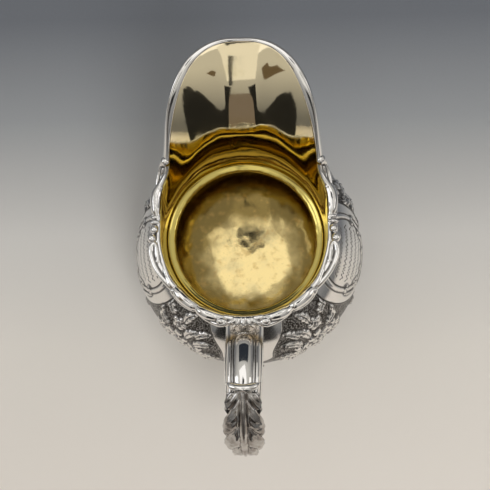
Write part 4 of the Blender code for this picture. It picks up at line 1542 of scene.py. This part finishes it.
def card(name, centre, facing, size, strength, colour=(1, 1, 1, 1)):
    """A flat card that only reflections and light rays see."""
    bpy.ops.mesh.primitive_plane_add(size=1)
    made = bpy.context.object
    made.name = name
    made.scale = (size[0], size[1], 1)
    made.location = centre
    made.rotation_mode = "QUATERNION"
    made.rotation_quaternion = (Vector(facing) - Vector(centre)).to_track_quat("Z", "Y")
    made.data.materials.append(emitter(name, strength, colour))
    made.visible_camera = False
    made.visible_shadow = strength > SHADOWLESS
    return made


def far_card(name, turn, rise, width, height, strength, colour, distance, lean):
    """A card placed as it is seen from the spout."""
    turn, rise = math.radians(turn), math.radians(rise)
    aim = Vector(FAR_CARD_AIM)
    way = Vector((math.sin(turn) * math.cos(rise), -math.cos(turn) * math.cos(rise), math.sin(rise)))
    size = [2 * distance * math.tan(math.radians(0.5 * s)) for s in (width, height)]
    made = card(name, aim + distance * way, aim, size, strength, colour)
    made.rotation_quaternion @= Matrix.Rotation(math.radians(lean), 3, "Z").to_quaternion()


def set_ramp(ramp, first, last, *between):
    """Gives a colour ramp its stops, each a position and a colour."""
    for element, (position, colour) in zip(ramp.elements, (first, last)):
        element.position = position
        element.color = colour
    for position, colour in between:
        ramp.elements.new(position).color = colour


def build_floor():
    """Pale paper floor, made darker and cooler towards the far side by painted shade where the light falls
    off.
    """
    bpy.ops.mesh.primitive_plane_add(size=6)
    floor = bpy.context.object
    floor.name = "floor"
    paper = Metal("floor_paper")
    paper.shader.inputs["Metallic"].default_value = 0.0
    place = paper.add("ShaderNodeSeparateXYZ", {"Vector": paper.place}).outputs["Y"]
    near = paper.maths("MULTIPLY_ADD", place, -1 / FLOOR_SHADE_SPAN, 0.5)
    # Painted shade: the ramp makes the floor darker and cooler towards the far side.
    painted_falloff = paper.add("ShaderNodeValToRGB", {"Fac": near})
    set_ramp(
        painted_falloff.color_ramp,
        (0.04, (0.165, 0.176, 0.198, 1)),
        (0.80, (0.800, 0.745, 0.680, 1)),
        (0.22, (0.335, 0.345, 0.356, 1)),
        (0.42, (0.670, 0.650, 0.620, 1)),
        (0.60, (0.775, 0.732, 0.672, 1)),
    )
    grain = paper.noise(0.0012, 4)
    paper.finish(painted_falloff.outputs[0], paper.spread(grain, 0.2, 0.8, 0.75, 0.9), grain, 0.00005, 0.15)
    floor.data.materials.append(paper.material)


def build_room():
    """Even grey light from all round, brighter from above."""
    world = bpy.data.worlds.new("soft_room")
    bpy.context.scene.world = world
    world.use_nodes = True
    tree = world.node_tree
    back = tree.nodes["Background"]
    place = tree.nodes.new("ShaderNodeTexCoord")
    split = tree.nodes.new("ShaderNodeSeparateXYZ")
    ramp = tree.nodes.new("ShaderNodeValToRGB")
    set_ramp(ramp.color_ramp, (0.05, (0.15, 0.150, 0.150, 1)), (0.80, (0.53, 0.517, 0.485, 1)))
    tree.links.new(place.outputs["Generated"], split.inputs[0])
    tree.links.new(split.outputs["Z"], ramp.inputs[0])
    tree.links.new(ramp.outputs[0], back.inputs[0])
    back.inputs[1].default_value = 1.0


def build_cards():
    """Softboxes overhead and at the sides, and the panels and stands that the polished metal reflects."""
    warm = (1.0, 0.985, 0.96, 1)
    card("overhead_softbox", (-0.04, 0.113, 1.2), JUG_MIDDLE, (0.86, 0.86), 1.05, warm)
    card("camera_shade", (-0.023, -0.037, 0.9), JUG_MIDDLE, (0.17, 0.19), 0.02)
    for settings in FAR_CARDS:
        far_card(*settings)
    floor_light = card("floor_softbox", (0.1, -0.5, 1.2), (0, 0, 0), (0.9, 0.9), 7.6)
    floor_light.visible_glossy = False


CAMERA_PLACE = (0.01413, -0.04176, 0.37893)
CAMERA_AIM = (-0.00017, 0.00705, 0.07626)
CAMERA_LENS = 57.69


def build_camera():
    """The photo's view, almost straight down, with the spout towards the top of the picture."""
    data = bpy.data.cameras.new("camera")
    data.sensor_width = 36.0
    data.lens = CAMERA_LENS
    data.dof.use_dof = False
    camera = bpy.data.objects.new("camera", data)
    bpy.context.scene.collection.objects.link(camera)
    camera.location = CAMERA_PLACE
    back = (camera.location - Vector(CAMERA_AIM)).normalized()
    right = Vector((0, 1, 0)).cross(back).normalized()
    turn = Matrix((right, back.cross(right), back)).transposed()
    camera.rotation_mode = "QUATERNION"
    camera.rotation_quaternion = turn.to_quaternion()
    data.clip_start = 0.01
    data.clip_end = 20.0
    bpy.context.scene.camera = camera


build_jug()
build_floor()
build_room()
build_cards()
build_camera()
bpy.context.scene.view_settings.view_transform = "Standard"
